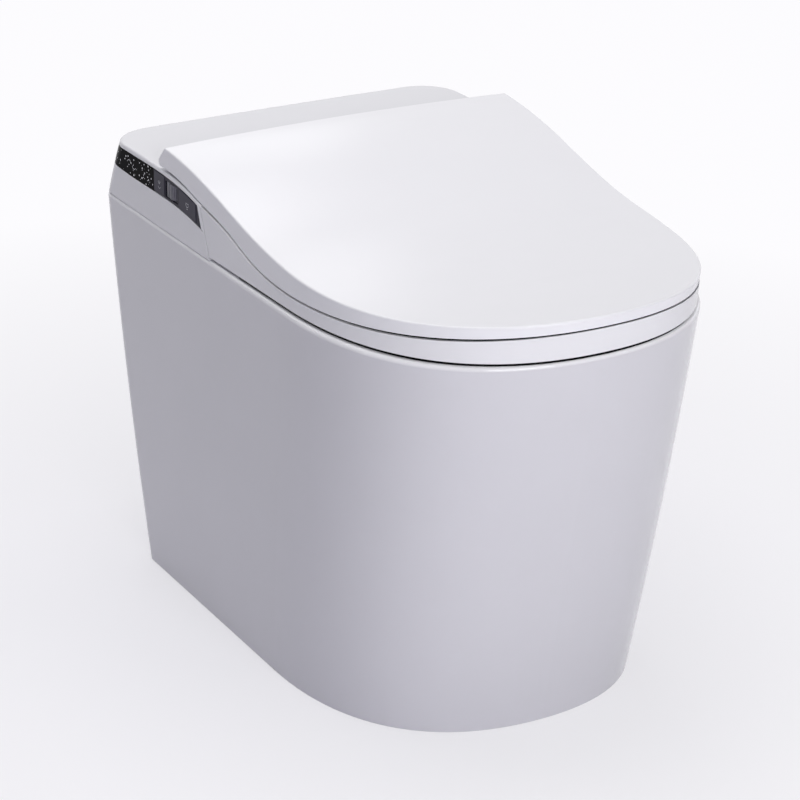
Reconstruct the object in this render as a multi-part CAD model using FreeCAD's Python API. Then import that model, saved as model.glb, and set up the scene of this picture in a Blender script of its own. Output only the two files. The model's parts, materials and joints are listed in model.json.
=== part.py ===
import FreeCAD, Part
import math
import os

Vector = FreeCAD.Vector

# Smart toilet with heated seat.  Millimetres.
# X is across, -Y is the front, +Y is the wall side, +Z is up, the floor is z = 0.
# Depths are counted from the rear plane of the ceramic towards the front.

# ---- overall plan of the ceramic ----
lid_front = 672.0           # depth of the front of the lid, the longest reach
body_half_width = 200.0
body_front = lid_front - 11.5  # depth of the front of the ceramic at its rim
rim_height = 413.0
rim_straight = body_front - 231.5  # depth where the straight sides end, at the rim
foot_half_width = body_half_width - 17.5
foot_rear = 37.0
foot_straight = rim_straight - 75.0
foot_front = body_front - 87.5
waist_height = rim_height / 2.0
waist_bulge = 2.6           # how far the middle swells past a straight taper
corner_radius = 22.0
foot_corner_radius = 24.0
front_fullness = 0.65       # handle length of the front curve: a plain ellipse has 0.55
rim_edge_radius = 4.0
skirt_wall = 14.0
deck_thickness = 22.0

# ---- bowl and trapway ----
bowl_rear = 292.0
bowl_front = body_front - 48.5
bowl_half_width = body_half_width - 62.0
bowl_wall = 12.0
bowl_fullness = 0.60
bowl_shoulder_height = rim_height - 83.0
bowl_middle_height = rim_height - 183.0
bowl_throat_height = rim_height - 263.0
sump_height = rim_height - 308.0
sump_floor = rim_height - 335.0
sump_depth = 440.0          # depth of the middle of the sump
throat_half_width = 52.0
throat_half_length = 64.0
sump_half_width = 34.0
sump_half_length = 40.0
sump_end_half = 22.0
trap_bore = 26.0
trap_wall = 10.0
trap_start_height = sump_floor + 22.0
trap_bend = 48.0
trap_angle = 45.0           # the trapway rises from the sump at this angle
outlet_depth = 290.0        # a 305 mm rough-in less a 15 mm gap to the wall
spigot_lift = 6.0           # the spigot ends this far above the floor
seal_width = 18.0
seal_height = 30.0

# ---- rear pocket and its windows ----
pocket_half_width = body_half_width - 50.0
pocket_rear = 24.0
pocket_front = 250.0
pocket_floor = rim_height - 117.0
pocket_wall = 12.0
notch_half_width = 72.0
notch_floor = rim_height - 63.0
notch_front = bowl_rear + 46.0  # clears the swing of the dryer flap
service_half_width = pocket_half_width - 35.0
service_low = 50.0
service_high = pocket_floor - 31.0
hose_port_x = 40.0 - pocket_half_width
hose_port_height = pocket_floor + 39.0
hose_port_radius = 20.0

# ---- rear housing ----
housing_top = rim_height + 64.0
housing_seat_gap = 1.2      # between the housing's front and the seat's rear face
seam_top_depth = 243.0
seam_top_height = rim_height + 51.0
seam_foot_depth = 262.0
housing_lift = 0.4
housing_half_width = body_half_width - 0.8
housing_top_half_width = housing_half_width - 0.6
housing_rear = 2.0
housing_mid_rear = 9.0
housing_top_rear = 18.6
housing_corner = 20.0
housing_mid_corner = 32.0
housing_top_corner = 48.0
housing_mid_height = rim_height + 33.0
housing_crown = 1.2
housing_edge_radius = 3.0
cover_wall = 3.2
strip_thickness = 2.0
strip_bed = 0.1
backing_wall = 2.0          # the side behind the strip is thicker by this
backing_reach = housing_half_width - 7.7  # the thick side behind the strip ends this far from the middle

# ---- black strip and controls on the side ----
strip_rear = 26.0
strip_rear_radius = 12.0
glass_end = 134.0
trim_setback = 3.5           # the strip ends this far behind the slanted seam
trim_width = 4.0
strip_groove = 0.8           # shadow groove under the control strip
control_frame = 1.2          # rim of the control strip above and below the buttons
strip_low_knees = (130.0, 180.0)    # depths where the strip's edges start to slope down
strip_high_knees = (110.0, 190.0)
strip_low_rear = rim_height + 36.5
strip_low_middle = rim_height + 34.5
strip_low_front = rim_height + 25.2
strip_high_rear = housing_top - 4.4
strip_high_middle = housing_top - 7.0
strip_high_front = housing_top - 18.0
button_clearance = 0.35
button_travel = 1.0
button_thickness = 5.0
button_proud = 0.5
button_stem_end = 6.0 - housing_half_width
switch_clearance = 0.3
board_post_x = housing_half_width - 6.0  # posts and boards stop just inside the cover's thick side
display_board_x = housing_half_width - 6.2
display_depths = (66.0, 122.0)
display_heights = (housing_top - 22.0, housing_top - 10.0)
button_low = housing_top - 26.0
button_high = housing_top - 9.0
wash_button_depths = (136.5, 160.0)
flush_button_depths = (194.5, 233.0)
flush_button_drop = 6.0     # the front button sits lower, as the strip slopes down
flush_button_height = 14.5
wheel_depth = 176.5
wheel_radius = 14.5
wheel_height = 16.0
wheel_centre_height = housing_top - 18.0
wheel_proud = 0.6
wheel_slot_clearance = 0.8
wheel_rib_count = 36
wheel_rib_depth = 0.6
wheel_axle_radius = 1.5

# ---- hinge ----
hinge_depth = 151.0
hinge_height = housing_top + 6.8
hinge_pin_radius = 2.2
hinge_clearance = 0.05
hinge_eye_radius = 4.3
hinge_side_gap = 0.5
arm_inner_x = 95.0
arm_width = 30.0
lug_width = 10.0
ear_width = 9.5
lug_hole_gap = 0.2
lug_hole_half = 9.0         # the cover's holes for the lugs reach this far fore and aft

# ---- seat ----
seat_lift_gap = 3.0
seat_wall = 3.5
seat_rear_half_width = body_half_width - 0.4
seat_half_width = body_half_width - 3.0
seat_straight = rim_straight - 10.0
seat_foot_front = body_front + 1.0
seat_top_front = lid_front - 2.5
seat_hole_rear = 322.0
seat_hole_front = bowl_front - 14.0
seat_hole_half_width = bowl_half_width - 26.0
seat_hole_fullness = 0.62
seat_edge_radius = 1.5
seat_plate = 3.0
seat_rib = 2.4
seat_joint_gap = 0.3
# top of the seat along its outer edge, and along its middle: (depth, rise above the rim)
seat_side_rises = [(200, 60.5), (243, 51.5), (300, 39.8), (345, 25.6), (390, 18.0),
                   (450, 16.8), (560, 21.0), (690, 31.0)]
seat_middle_rises = [(200, 45.0), (243, 41.0), (300, 32.5), (345, 21.0), (390, 15.0),
                     (450, 14.0), (560, 19.0), (690, 31.0)]
seat_bumper_height = 2.6
heater_foil = 1.0
heater_margin = 6.0         # the foil ends this far inside the seat's walls

# ---- lid ----
lid_gap = 1.6
lid_wall = 3.0
lid_rear_half_width = body_half_width - 1.1
lid_half_width = body_half_width - 4.2
lid_low_front = lid_front - 7.0
lid_corner_radius = 4.5
lid_edge_radius = 1.8
lid_rear_top_depth = 161.0
lid_rear_lean = 5.0         # the middle of the rear top edge lies this far forward
lid_side_rises = [(161, 87.5), (200, 83.5), (240, 77.0), (300, 63.0), (350, 51.0),
                  (400, 42.5), (460, 37.2), (550, 35.6), (690, 43.5)]
lid_crown = [6.0, 8.0, 9.0, 9.5, 8.5, 6.5, 5.0, 3.0, 0.5]
lid_lean_reach = 80.0       # the lean of the rear edge fades out over this depth
lid_flare_low = rim_height + 27.0
lid_flare_top = rim_height + 45.0
lid_hollow_rear = 164.0
lid_slot_radius = 6.2
lid_slot_top = hinge_height + 8.7
lid_panel = 2.5
lid_panel_rear = 268.0
lid_panel_gap = 0.4
lid_bumper_radius = 6.0
lid_bumper_gap = 0.5

# ---- nozzle and the wash unit ----
nozzle_tip_depth = bowl_rear + 1.0
nozzle_tip_height = rim_height - 41.0
nozzle_slope = 20.0         # degrees below level, towards the bowl
nozzle_length = 208.0
nozzle_radius = 7.0
nozzle_bore = 2.5
nozzle_clearance = 0.6
nozzle_tip_length = 22.0
nozzle_cap_width = 32.0
nozzle_cap_height = 36.0
nozzle_cap_thickness = 2.4
cap_gap = 0.4
rail_wall = 3.0
rail_height = 4.0
rail_length = 138.0
gear_module = 1.0
gear_teeth = 16
gear_width = 6.0
gear_backlash = 0.5
gear_tip = 0.8
gear_root = 1.1
gear_along = 86.0           # how far behind the tip the drive gear stands
gear_axle_radius = 2.0
rack_lift = 9.0             # pitch line of the rack above the wand's axis
rack_base = 4.0
motor_size = 26.0
block_rear = pocket_front - 14.0
block_front = bowl_rear + 2.0
block_gap = 1.0
port_x = 44.0
port_half_width = 19.0
port_low = rim_height - 51.0
port_high = rim_height - 25.0
grille_slots = 5
grille_slot = 3.0
flap_thickness = 2.4
flap_margin = 2.5
flap_pin_radius = 1.2
flap_ear = 3.0
flap_pin_height = rim_height - 19.0
flap_pin_rise = 0.4         # the pin lies this far behind the middle of the flap

# ---- tub and the units inside ----
tub_gap = 2.0
tub_wall = 3.0
tub_flange_half = body_half_width - 15.0
tub_flange_rear = 18.0
tub_flange_front = pocket_front
fan_radius = 30.0
fan_height = 20.0
fan_blades = 18
fan_x = pocket_half_width - 54.0
fan_depth = 140.0
fan_floor = port_low
fan_scroll_gap = 3.0
fan_wall = 2.0
fan_inlet_radius = 17.0
fan_shaft_radius = 1.5
cartridge_depths = (176.0, 222.0)
cartridge_heights = (rim_height + 8.0, rim_height + 33.0)
cartridge_reach = 78.0
cartridge_gap = 0.5
cartridge_wall = 1.8
inlet_radius = 10.48        # G1/2 male thread
inlet_reach = 14.0
inlet_start = 3.0           # the fitting's end lies this far inside the rear plane
inlet_bore = 6.5
screw_radius = 2.0
screw_head = 3.8
screw_reach = 12.0
board_thickness = 1.6
flush_pipe_x = 40.0
flush_pipe_height = pocket_floor + 32.0
flush_pipe_radius = 9.0
flush_pipe_bore = 6.5
cord_x = pocket_half_width - 20.0
cord_height = rim_height + 21.0
cord_radius = 9.0
cord_bore = 3.75
gland_flange = 3.0
beam_low = hinge_height - 31.8
beam_thickness = 3.0
beam_depths = (135.0, 167.0)
beam_half = body_half_width - 35.0
beam_leg = 10.0
# boxes of the inner units: x from, x to, depth from, depth to, height above the tub's floor
heater_tank = (10.0 - pocket_half_width, 50.0 - pocket_half_width, 72.0, 176.0, 66.0)
heater_ports = (92.0, 156.0)
pump_base = (66.0 - pocket_half_width, 104.0 - pocket_half_width, 84.0, 150.0, 5.0)
pump_radius = 17.0
supply_case = (pocket_half_width - 68.0, pocket_half_width - 10.0, 36.0, 116.0, 36.0)
supply_fins = 8
supply_fin_pitch = 6.5
flush_valve_depths = (40.0, 98.0)
inlet_valve_depths = (42.0, 66.0)
inlet_valve_half = 19.0
coil_radius = 11.0
motor_can_radius = 17.0
motor_can_height = 26.0
board_box = (30.0, beam_half, 25.0, 106.0)
board_lift = 8.0            # the control board stands this far above the tub's flange
board_posts = [(38.0, 30.0), (beam_half - 5.0, 30.0), (beam_half - 5.0, 100.0)]
# parts on the board: x, depth, width, length, height
board_chips = [(50, 40, 22, 14, 9), (80, 36, 12, 12, 6), (100, 60, 30, 18, 12),
               (60, 74, 18, 18, 4), (128, 40, 12, 30, 8)]

rear_y = lid_front / 2.0
seat_floor = rim_height + seat_lift_gap
housing_floor = rim_height + housing_lift
tall = 200.0                # reach of the plain cutting blocks
far = 260.0                 # reach of the cutting blocks that pass the whole width
slab_reach = body_half_width + 5.0
slab_floor = rim_height - 13.0  # level under the seat where the curved slabs end
side_reach = 150.0          # side windows are cut in to this distance from the middle
wedge_low = rim_height - 60.0
wedge_high = housing_top + 60.0
strip_front = seam_foot_depth - 10.0  # depth where the strip's edges are drawn to
UP = Vector(0, 0, 1)
ACROSS = Vector(1, 0, 0)
FORWARD = Vector(0, -1, 0)
parts = {}




def raised(rises):
    # heights above the floor from rises above the rim
    return [(depth, rim_height + rise) for depth, rise in rises]


seat_side_line = raised(seat_side_rises)
seat_middle_line = raised(seat_middle_rises)
lid_side_line = raised(lid_side_rises)


# ---- helpers ----
def at(x, depth, height):
    return Vector(x, rear_y - depth, height)


def block(x_low, x_high, depth_low, depth_high, z_low, z_high):
    corner = at(x_low, depth_high, z_low)
    return Part.makeBox(x_high - x_low, depth_high - depth_low, z_high - z_low, corner)


def rod(start, direction, radius, length):
    return Part.makeCylinder(radius, length, start, direction)


def cross_rod(x_low, x_high, depth, height, radius):
    return rod(at(x_low, depth, height), ACROSS, radius, x_high - x_low)


def line(a, b):
    return Part.makeLine(a, b)


def curve(points):
    spline = Part.BSplineCurve()
    spline.interpolate(points)
    return spline.toShape()


def bezier(points):
    arc = Part.BezierCurve()
    arc.setPoles(points)
    return arc.toShape()


def fused(shapes):
    whole = shapes[0]
    if len(shapes) > 1:
        whole = shapes[0].multiFuse(shapes[1:])
    return whole.removeSplitter()


def group(shapes):
    return Part.makeCompound(shapes)


def loft(wires):
    return Part.makeLoft(wires, True, False)


def blend(low, high, share):
    return low + (high - low) * share


def rear_corner(side, half_width, rear, radius, z):
    # quarter circle that joins the rear line to a side, listed from the rear line on
    bend = radius * math.sqrt(0.5)
    start = at(side * (half_width - radius), rear, z)
    middle = at(side * (half_width - radius + bend), rear + radius - bend, z)
    end = at(side * half_width, rear + radius, z)
    return start, middle, end


def outline(z, rear_half, half, rear, straight, front, radius):
    # plan outline with two rear corners, straight sides and a full round front
    left = rear_corner(-1, rear_half, rear, radius, z)
    right = rear_corner(1, rear_half, rear, radius, z)
    reach = straight + (front - straight) * front_fullness
    tip = at(0, front, z)
    left_hip = at(-half, straight, z)
    right_hip = at(half, straight, z)
    edges = [line(left[0], right[0]),
             Part.Arc(*right).toShape(),
             line(right[2], right_hip),
             bezier([right_hip, at(half, reach, z), at(half * front_fullness, front, z), tip]),
             bezier([tip, at(-half * front_fullness, front, z), at(-half, reach, z), left_hip]),
             line(left_hip, left[2]),
             Part.Arc(left[2], left[1], left[0]).toShape()]
    return Part.Wire(edges)


def oval(z, rear, front, half, fullness):
    middle = (rear + front) / 2.0
    reach = (front - rear) / 2.0 * fullness
    side = half * fullness
    corners = [at(half, middle, z), at(0, front, z), at(-half, middle, z), at(0, rear, z)]
    handles = [(at(half, middle + reach, z), at(side, front, z)),
               (at(-side, front, z), at(-half, middle + reach, z)),
               (at(-half, middle - reach, z), at(-side, rear, z)),
               (at(side, rear, z), at(half, middle - reach, z))]
    edges = []
    for i in range(4):
        edges.append(bezier([corners[i], handles[i][0], handles[i][1], corners[(i + 1) % 4]]))
    return Part.Wire(edges)


def side_prism(edges, x_low, x_high):
    # solid between two side views: the edges lie in the plane of x_low
    face = Part.Face(Part.Wire(edges))
    return face.extrude(Vector(x_high - x_low, 0, 0))


def side_polygon(points, x_low, x_high):
    corners = [at(x_low, depth, z) for depth, z in points]
    wire = Part.makePolygon(corners + [corners[0]])
    return Part.Face(wire).extrude(Vector(x_high - x_low, 0, 0))


def saddle(side_points, middle_points, drop, floor, reach):
    # solid under a surface that runs from one side line over a middle line to the other
    wires = []
    for x, points in ((-reach, side_points), (0, middle_points), (reach, side_points)):
        top = [at(x, depth, z - drop) for depth, z in points]
        low_front = at(x, points[-1][0], floor)
        low_rear = at(x, points[0][0], floor)
        wires.append(Part.Wire([curve(top), line(top[-1], low_front),
                                line(low_front, low_rear), line(low_rear, top[0])]))
    return loft(wires)


def edges_above(shape, z_low):
    return [edge for edge in shape.Edges if edge.BoundBox.ZMin > z_low]


def upright_edges(shape, shortest):
    return [edge for edge in shape.Edges if edge.BoundBox.ZLength > shortest]


# ---- ceramic ----
def ceramic_outline(z, inset):
    share = z / rim_height
    swell = waist_bulge * 4.0 * share * (1.0 - share)
    half = blend(foot_half_width, body_half_width, share) + swell - inset
    rear = blend(foot_rear, 0.0, share) - swell / 2.0 * share + inset
    straight = blend(foot_straight, rim_straight, share)
    front = blend(foot_front, body_front, share) + swell - inset
    radius = blend(foot_corner_radius, corner_radius, share)
    radius = max(radius - inset, 2.0)
    return outline(z, half, half, rear, straight, front, radius)


def ceramic_outer():
    solid = loft([ceramic_outline(z, 0.0) for z in (0.0, waist_height, rim_height)])
    return solid.makeFillet(rim_edge_radius, edges_above(solid, rim_height - 0.5))


def skirt_hollow():
    deck_low = rim_height - deck_thickness
    return loft([ceramic_outline(z, skirt_wall) for z in (0.0, waist_height, deck_low)])


def bowl_loft(grow):
    middle = (bowl_rear + bowl_front) / 2.0
    half_length = (bowl_front - bowl_rear) / 2.0
    levels = [(rim_height, middle, bowl_half_width, half_length),
              (bowl_shoulder_height, middle, bowl_half_width * 0.93, half_length * 0.93),
              (bowl_middle_height, middle, bowl_half_width * 0.67, half_length * 0.70),
              (bowl_throat_height, blend(sump_depth, middle, 0.6), throat_half_width,
               throat_half_length),
              (sump_height, sump_depth, sump_half_width, sump_half_length),
              (sump_floor, sump_depth, sump_end_half, sump_end_half)]
    wires = []
    for z, centre, half, length in levels:
        level = z
        if z == sump_floor:
            level = z - grow
        wires.append(oval(level, centre - length - grow, centre + length + grow,
                          half + grow, bowl_fullness))
    return loft(wires)


def trap_path():
    # up and back from the sump, over the bend, straight down to the floor
    slant = math.sin(math.radians(trap_angle))
    bend_depth = outlet_depth + trap_bend * (1.0 + slant)
    bend_height = trap_start_height + (sump_depth - bend_depth)
    centre_depth = outlet_depth + trap_bend
    centre_height = bend_height - trap_bend * slant
    half_turn = math.radians((180.0 - trap_angle) / 2.0)
    middle = at(0, centre_depth - trap_bend * math.cos(half_turn),
                centre_height + trap_bend * math.sin(half_turn))
    start = at(0, sump_depth, trap_start_height)
    bend_start = at(0, bend_depth, bend_height)
    bend_end = at(0, outlet_depth, centre_height)
    return start, bend_start, middle, bend_end


def trap_pipe(radius, floor):
    start, bend_start, middle, bend_end = trap_path()
    foot = at(0, outlet_depth, floor)
    path = Part.Wire([line(start, bend_start), Part.Arc(bend_start, middle, bend_end).toShape(),
                      line(bend_end, foot)])
    ring = Part.Wire([Part.makeCircle(radius, start, bend_start - start)])
    return path.makePipeShell([ring], True, False)


def make_ceramic():
    outer = ceramic_outer()
    body = outer.cut(skirt_hollow())
    pocket_outer = block(-pocket_half_width - pocket_wall, pocket_half_width + pocket_wall,
                         pocket_rear - pocket_wall, pocket_front + pocket_wall,
                         pocket_floor - pocket_wall, rim_height - 1.0)
    bowl_block = bowl_loft(bowl_wall).common(outer)
    trap_outer = trap_pipe(trap_bore + trap_wall, spigot_lift)
    body = body.multiFuse([bowl_block, pocket_outer.common(outer), trap_outer])
    pocket = block(-pocket_half_width, pocket_half_width, pocket_rear, pocket_front,
                   pocket_floor, rim_height + tall)
    notch = block(-notch_half_width, notch_half_width, pocket_front - 1.0, notch_front,
                  notch_floor, rim_height + tall)
    service = block(-service_half_width, service_half_width, -tall, foot_rear + skirt_wall,
                    service_low, service_high)
    hose_port = rod(at(hose_port_x, -tall, hose_port_height), FORWARD,
                    hose_port_radius, tall + pocket_rear + 1.0)
    body = body.cut(bowl_loft(0.0))
    body = body.cut(trap_pipe(trap_bore, spigot_lift - 1.0))
    jet = rod(at(flush_pipe_x, pocket_front - 5.0, flush_pipe_height), FORWARD,
              flush_pipe_radius + 0.5, bowl_rear - pocket_front + 40.0)
    screws = [rod(at(x, depth, rim_height - screw_reach), UP, screw_radius, tall)
              for x, depth in chassis_screw_spots()]
    for tool in [pocket, notch, service, hose_port, jet] + screws:
        body = body.cut(tool)
    return body


def make_outlet_seal():
    inner = trap_bore + trap_wall + strip_bed
    ring = rod(at(0, outlet_depth, 0), UP, inner + seal_width, seal_height)
    return ring.cut(rod(at(0, outlet_depth, 0), UP, inner, seal_height))


# ---- rear housing ----
def housing_line():
    return [(-20, housing_top), (90, housing_top), (150, housing_top - 0.9),
            (190, housing_top - 3.4), (seam_top_depth, seam_top_height),
            (300, seam_top_height - 14.0)]


def housing_outline(z, half, rear, radius):
    left = rear_corner(-1, half, rear, radius, z)
    right = rear_corner(1, half, rear, radius, z)
    reach = seam_foot_depth + 40.0
    front_left = at(-half, reach, z)
    front_right = at(half, reach, z)
    return Part.Wire([line(left[0], right[0]), Part.Arc(*right).toShape(),
                      line(right[2], front_right), line(front_right, front_left),
                      line(front_left, left[2]), Part.Arc(left[2], left[1], left[0]).toShape()])


def housing_solid(inset, floor):
    over = housing_top + 8.0
    levels = [(floor, housing_half_width, housing_rear, housing_corner),
              (housing_mid_height, housing_half_width, housing_mid_rear, housing_mid_corner),
              (over, housing_top_half_width, housing_top_rear, housing_top_corner)]
    wires = [housing_outline(z, half - inset, rear + inset, radius - inset)
             for z, half, rear, radius in levels]
    side = housing_line()
    middle = [(depth, z + housing_crown) for depth, z in side]
    solid = loft(wires).common(saddle(side, middle, inset, floor - 1.0, slab_reach))
    return solid.cut(front_wedge(housing_seat_gap + inset))


def seam_at(z):
    # depth of the slanted seam between the housing and the seat at one height
    slope = (seam_foot_depth - seam_top_depth) / (seam_top_height - housing_floor)
    return seam_foot_depth - (z - housing_floor) * slope


def front_wedge(gap):
    # everything ahead of the slanted seam, moved back by the gap
    low = wedge_low
    high = wedge_high
    ahead = lid_front + tall
    corners = [(seam_at(low) - gap, low), (seam_at(high) - gap, high), (ahead, high), (ahead, low)]
    return side_polygon(corners, -far, far)


def strip_band(low_margin, high_margin):
    # side view of the strip, with its lower edge raised and its upper edge lowered
    low_rear = strip_low_rear + low_margin
    high_rear = strip_high_rear - high_margin
    front_low = at(-far, strip_front, strip_low_front + low_margin)
    front_high = at(-far, strip_front, strip_high_front - high_margin)
    foot = at(-far, strip_rear + strip_rear_radius, low_rear)
    top = at(-far, strip_rear, high_rear)
    low = curve([foot, at(-far, strip_low_knees[0], strip_low_middle + low_margin + 0.6),
                 at(-far, strip_low_knees[1], strip_low_middle + low_margin), front_low])
    high = curve([front_high, at(-far, strip_high_knees[1], strip_high_middle - high_margin),
                  at(-far, strip_high_knees[0], high_rear), top])
    bend = strip_rear_radius * (1.0 - math.sqrt(0.5))
    side = at(-far, strip_rear, low_rear + strip_rear_radius)
    middle = at(-far, strip_rear + bend, low_rear + bend)
    edges = [low, line(front_low, front_high), high, line(top, side),
             Part.Arc(side, middle, foot).toShape()]
    return side_prism(edges, -far, -side_reach)


def between(depths):
    # a slab across the whole width between two depths
    return block(-far, far, depths[0], depths[1], slab_floor, wedge_high)


def window(depths, low, high, reach):
    return block(-far, -reach, depths[0], depths[1], low, high)


def flush_heights():
    high = button_high - flush_button_drop
    return high - flush_button_height, high


def wheel_centre_x():
    return -housing_half_width - wheel_proud + wheel_radius


def button_space(depths, grow):
    # the part of the control strip that one button fills, larger all round by the clearance
    band = strip_band(strip_groove + control_frame - grow, control_frame - grow)
    return band.common(between((depths[0] - grow, depths[1] + grow)))


def control_windows():
    half = wheel_radius - 1.0 + wheel_slot_clearance
    wheel_low = wheel_centre_height - wheel_height / 2.0 - wheel_slot_clearance
    return [button_space(wash_button_depths, button_clearance),
            button_space(flush_button_depths, button_clearance),
            window((wheel_depth - half, wheel_depth + half), wheel_low,
                   wheel_low + wheel_height + 2.0 * wheel_slot_clearance, side_reach)]


def strip_pieces():
    outer = housing_solid(0.0, housing_floor)
    skin = outer.cut(housing_solid(strip_thickness, housing_floor - 1.0))
    glass = skin.common(strip_band(0.0, 0.0)).common(between((0.0, glass_end)))
    controls = skin.common(strip_band(strip_groove, 0.0))
    bezel = controls.common(between((glass_end + strip_bed, lid_front)))
    bezel = bezel.cut(front_wedge(trim_setback + trim_width + strip_bed))
    bezel = bezel.cut(group(control_windows()))
    trim = controls.common(front_wedge(trim_setback + trim_width)).cut(front_wedge(trim_setback))
    return glass, bezel, trim


def lug_spans():
    # the housing's hinge lugs stand on both sides of each seat arm
    inner = arm_inner_x - hinge_side_gap
    outer = arm_inner_x + arm_width + hinge_side_gap
    return [(inner - lug_width, inner), (outer, outer + lug_width)]


def ear_spans():
    inner, outer = lug_spans()
    return [(inner[0] - hinge_side_gap - ear_width, inner[0] - hinge_side_gap),
            (outer[1] + hinge_side_gap, outer[1] + hinge_side_gap + ear_width)]


def mirrored(span, side):
    if side > 0:
        return span
    return -span[1], -span[0]


def cartridge_window():
    return cartridge_box(cartridge_gap + 0.3, side_reach, far)


def make_cover():
    outer = housing_solid(0.0, housing_floor)
    rounded = outer.makeFillet(housing_edge_radius, rim_edges_of_housing(outer))
    cover = rounded.cut(housing_solid(cover_wall, housing_floor - 1.0))
    backing = outer.cut(housing_solid(cover_wall + backing_wall, housing_floor - 1.0))
    backing = backing.common(strip_band(0.0, 0.0)).cut(front_wedge(trim_setback))
    backing = backing.common(block(-far, -backing_reach, 0.0, far, slab_floor, wedge_high))
    cover = cover.fuse(backing)
    bed = outer.cut(housing_solid(strip_thickness + strip_bed, housing_floor - 1.0))
    cover = cover.cut(bed.common(strip_band(0.0, 0.0)).cut(front_wedge(trim_setback)))
    cover = cover.cut(group(control_windows()))
    cover = cover.cut(cartridge_window())
    cover = cover.cut(display_window())
    for side in (-1, 1):
        for span in lug_spans():
            low, high = mirrored(span, side)
            cover = cover.cut(block(low - lug_hole_gap, high + lug_hole_gap,
                                    hinge_depth - lug_hole_half, hinge_depth + lug_hole_half,
                                    beam_low + beam_thickness, wedge_high))
    front_low = rim_height - 1.0
    cover = cover.cut(block(-notch_half_width - 20.0, notch_half_width + 20.0,
                            cover_front_depth(), lid_front, front_low, front_low + 14.0))
    cover = cover.cut(rod(at(cord_x, -tall, cord_height), FORWARD, cord_radius,
                          far))
    return cover


def cover_front_depth():
    return seam_foot_depth - housing_seat_gap - cover_wall - 8.0


def rim_edges_of_housing(solid):
    chosen = []
    for edge in solid.Edges:
        box = edge.BoundBox
        if box.ZMin > seam_top_height - 4.0 and box.YMax - box.YMin < 400.0:
            front = box.YMin < rear_y - seam_top_depth + 6.0 and box.YMax - box.YMin < 2.0
            if not front:
                chosen.append(edge)
    return chosen


def make_cord_gland():
    start = at(cord_x, housing_rear + 3.0, cord_height)
    sleeve = rod(start, FORWARD, cord_radius - 0.1, 18.0)
    collar = rod(at(cord_x, housing_rear + 16.0, cord_height), FORWARD,
                 cord_radius + gland_flange, gland_flange)
    bore = rod(at(cord_x, 0.0, cord_height), FORWARD, cord_bore, 40.0)
    return sleeve.fuse(collar).cut(bore)


# ---- seat ----
def seat_loft(inset, floor, top):
    wires = []
    for z in (floor, top):
        share = (z - seat_floor) / 54.0
        front = blend(seat_foot_front, seat_top_front, share) - inset
        wires.append(outline(z, seat_rear_half_width - inset, seat_half_width - inset, 180.0,
                             seat_straight, front, 5.0))
    return loft(wires)


def seat_slab(drop, floor):
    return saddle(seat_side_line, seat_middle_line, drop, floor, slab_reach)


def seam_wedge(gap):
    # everything behind the slanted seam, moved forward by the gap
    low = wedge_low
    high = wedge_high
    corners = [(seam_at(low) + gap, low), (seam_at(high) + gap, high), (-tall, high),
               (-tall, low)]
    return side_polygon(corners, -far, far)


def seat_hole(grow, floor, top):
    low = oval(floor, seat_hole_rear - grow, seat_hole_front + grow,
               seat_hole_half_width + grow, seat_hole_fullness)
    high = oval(top, seat_hole_rear - grow - 6.0, seat_hole_front + grow + 6.0,
                seat_hole_half_width + grow + 6.0, seat_hole_fullness)
    return loft([low, high])


def seat_solid(inset, floor):
    body = seat_loft(inset, floor, housing_top + 1.0).common(seat_slab(inset, floor - 1.0))
    body = body.cut(seam_wedge(inset))
    return body.cut(seat_hole(inset, floor - 1.0, housing_top + 3.0))


def arm_spans():
    span = (arm_inner_x, arm_inner_x + arm_width)
    return [mirrored(span, -1), span]


def seat_arm(span):
    root_depth = seam_top_depth + 24.0
    foot = hinge_height - 31.8
    heel = hinge_height - 15.3
    points = [(hinge_depth, hinge_height + hinge_eye_radius),
              (hinge_depth + 49.0, hinge_height + 2.6),
              (seam_top_depth, hinge_height - 10.8), (root_depth, hinge_height - 20.8),
              (root_depth, foot - 12.0), (seam_at(foot) + 0.5, foot),
              (seam_at(heel) + 0.2, heel), (hinge_depth + 54.0, hinge_height - 6.8),
              (hinge_depth + 37.0, hinge_height - hinge_eye_radius),
              (hinge_depth, hinge_height - hinge_eye_radius)]
    arm = side_polygon(points, span[0], span[1])
    eye = cross_rod(span[0], span[1], hinge_depth, hinge_height, hinge_eye_radius)
    bore = cross_rod(span[0] - 1.0, span[1] + 1.0, hinge_depth, hinge_height,
                     hinge_pin_radius + hinge_clearance)
    return arm.fuse(eye).cut(bore)


def make_seat_top():
    shell = seat_solid(0.0, seat_floor)
    low_edges = [edge for edge in shell.Edges if edge.BoundBox.ZMax < seat_floor + 0.1]
    shell = shell.makeFillet(seat_edge_radius, low_edges)
    shell = shell.cut(seat_solid(seat_wall, seat_floor - 1.0))
    arms = [seat_arm(span) for span in arm_spans()]
    keep = seat_solid(0.0, seat_floor)
    hollow = seat_solid(seat_wall, seat_floor - 1.0)
    trimmed = [arm.cut(hollow.common(keep)) for arm in arms]
    return fused([shell] + trimmed)


def make_seat_bottom():
    inset = seat_wall + seat_joint_gap
    plate = seat_loft(inset, seat_floor, seat_floor + seat_plate)
    plate = plate.cut(seam_wedge(inset))
    plate = plate.cut(seat_hole(inset, seat_floor - 1.0, housing_top + 3.0))
    low = seat_floor + seat_plate
    rib_low = seat_loft(inset + 14.0, low - 0.5, low + seat_rib)
    rib_high = seat_loft(inset + 16.5, low - 1.0, low + seat_rib + 1.0)
    rib = rib_low.cut(rib_high).cut(seam_wedge(inset + 12.0))
    return fused([plate, rib])


def make_seat_heater():
    inset = seat_wall + seat_joint_gap
    high = seat_slab(inset, seat_floor - 2.0)
    low = seat_slab(inset + heater_foil, seat_floor - 3.0)
    return outer_ring(inset + heater_margin).common(high.cut(low))


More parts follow.
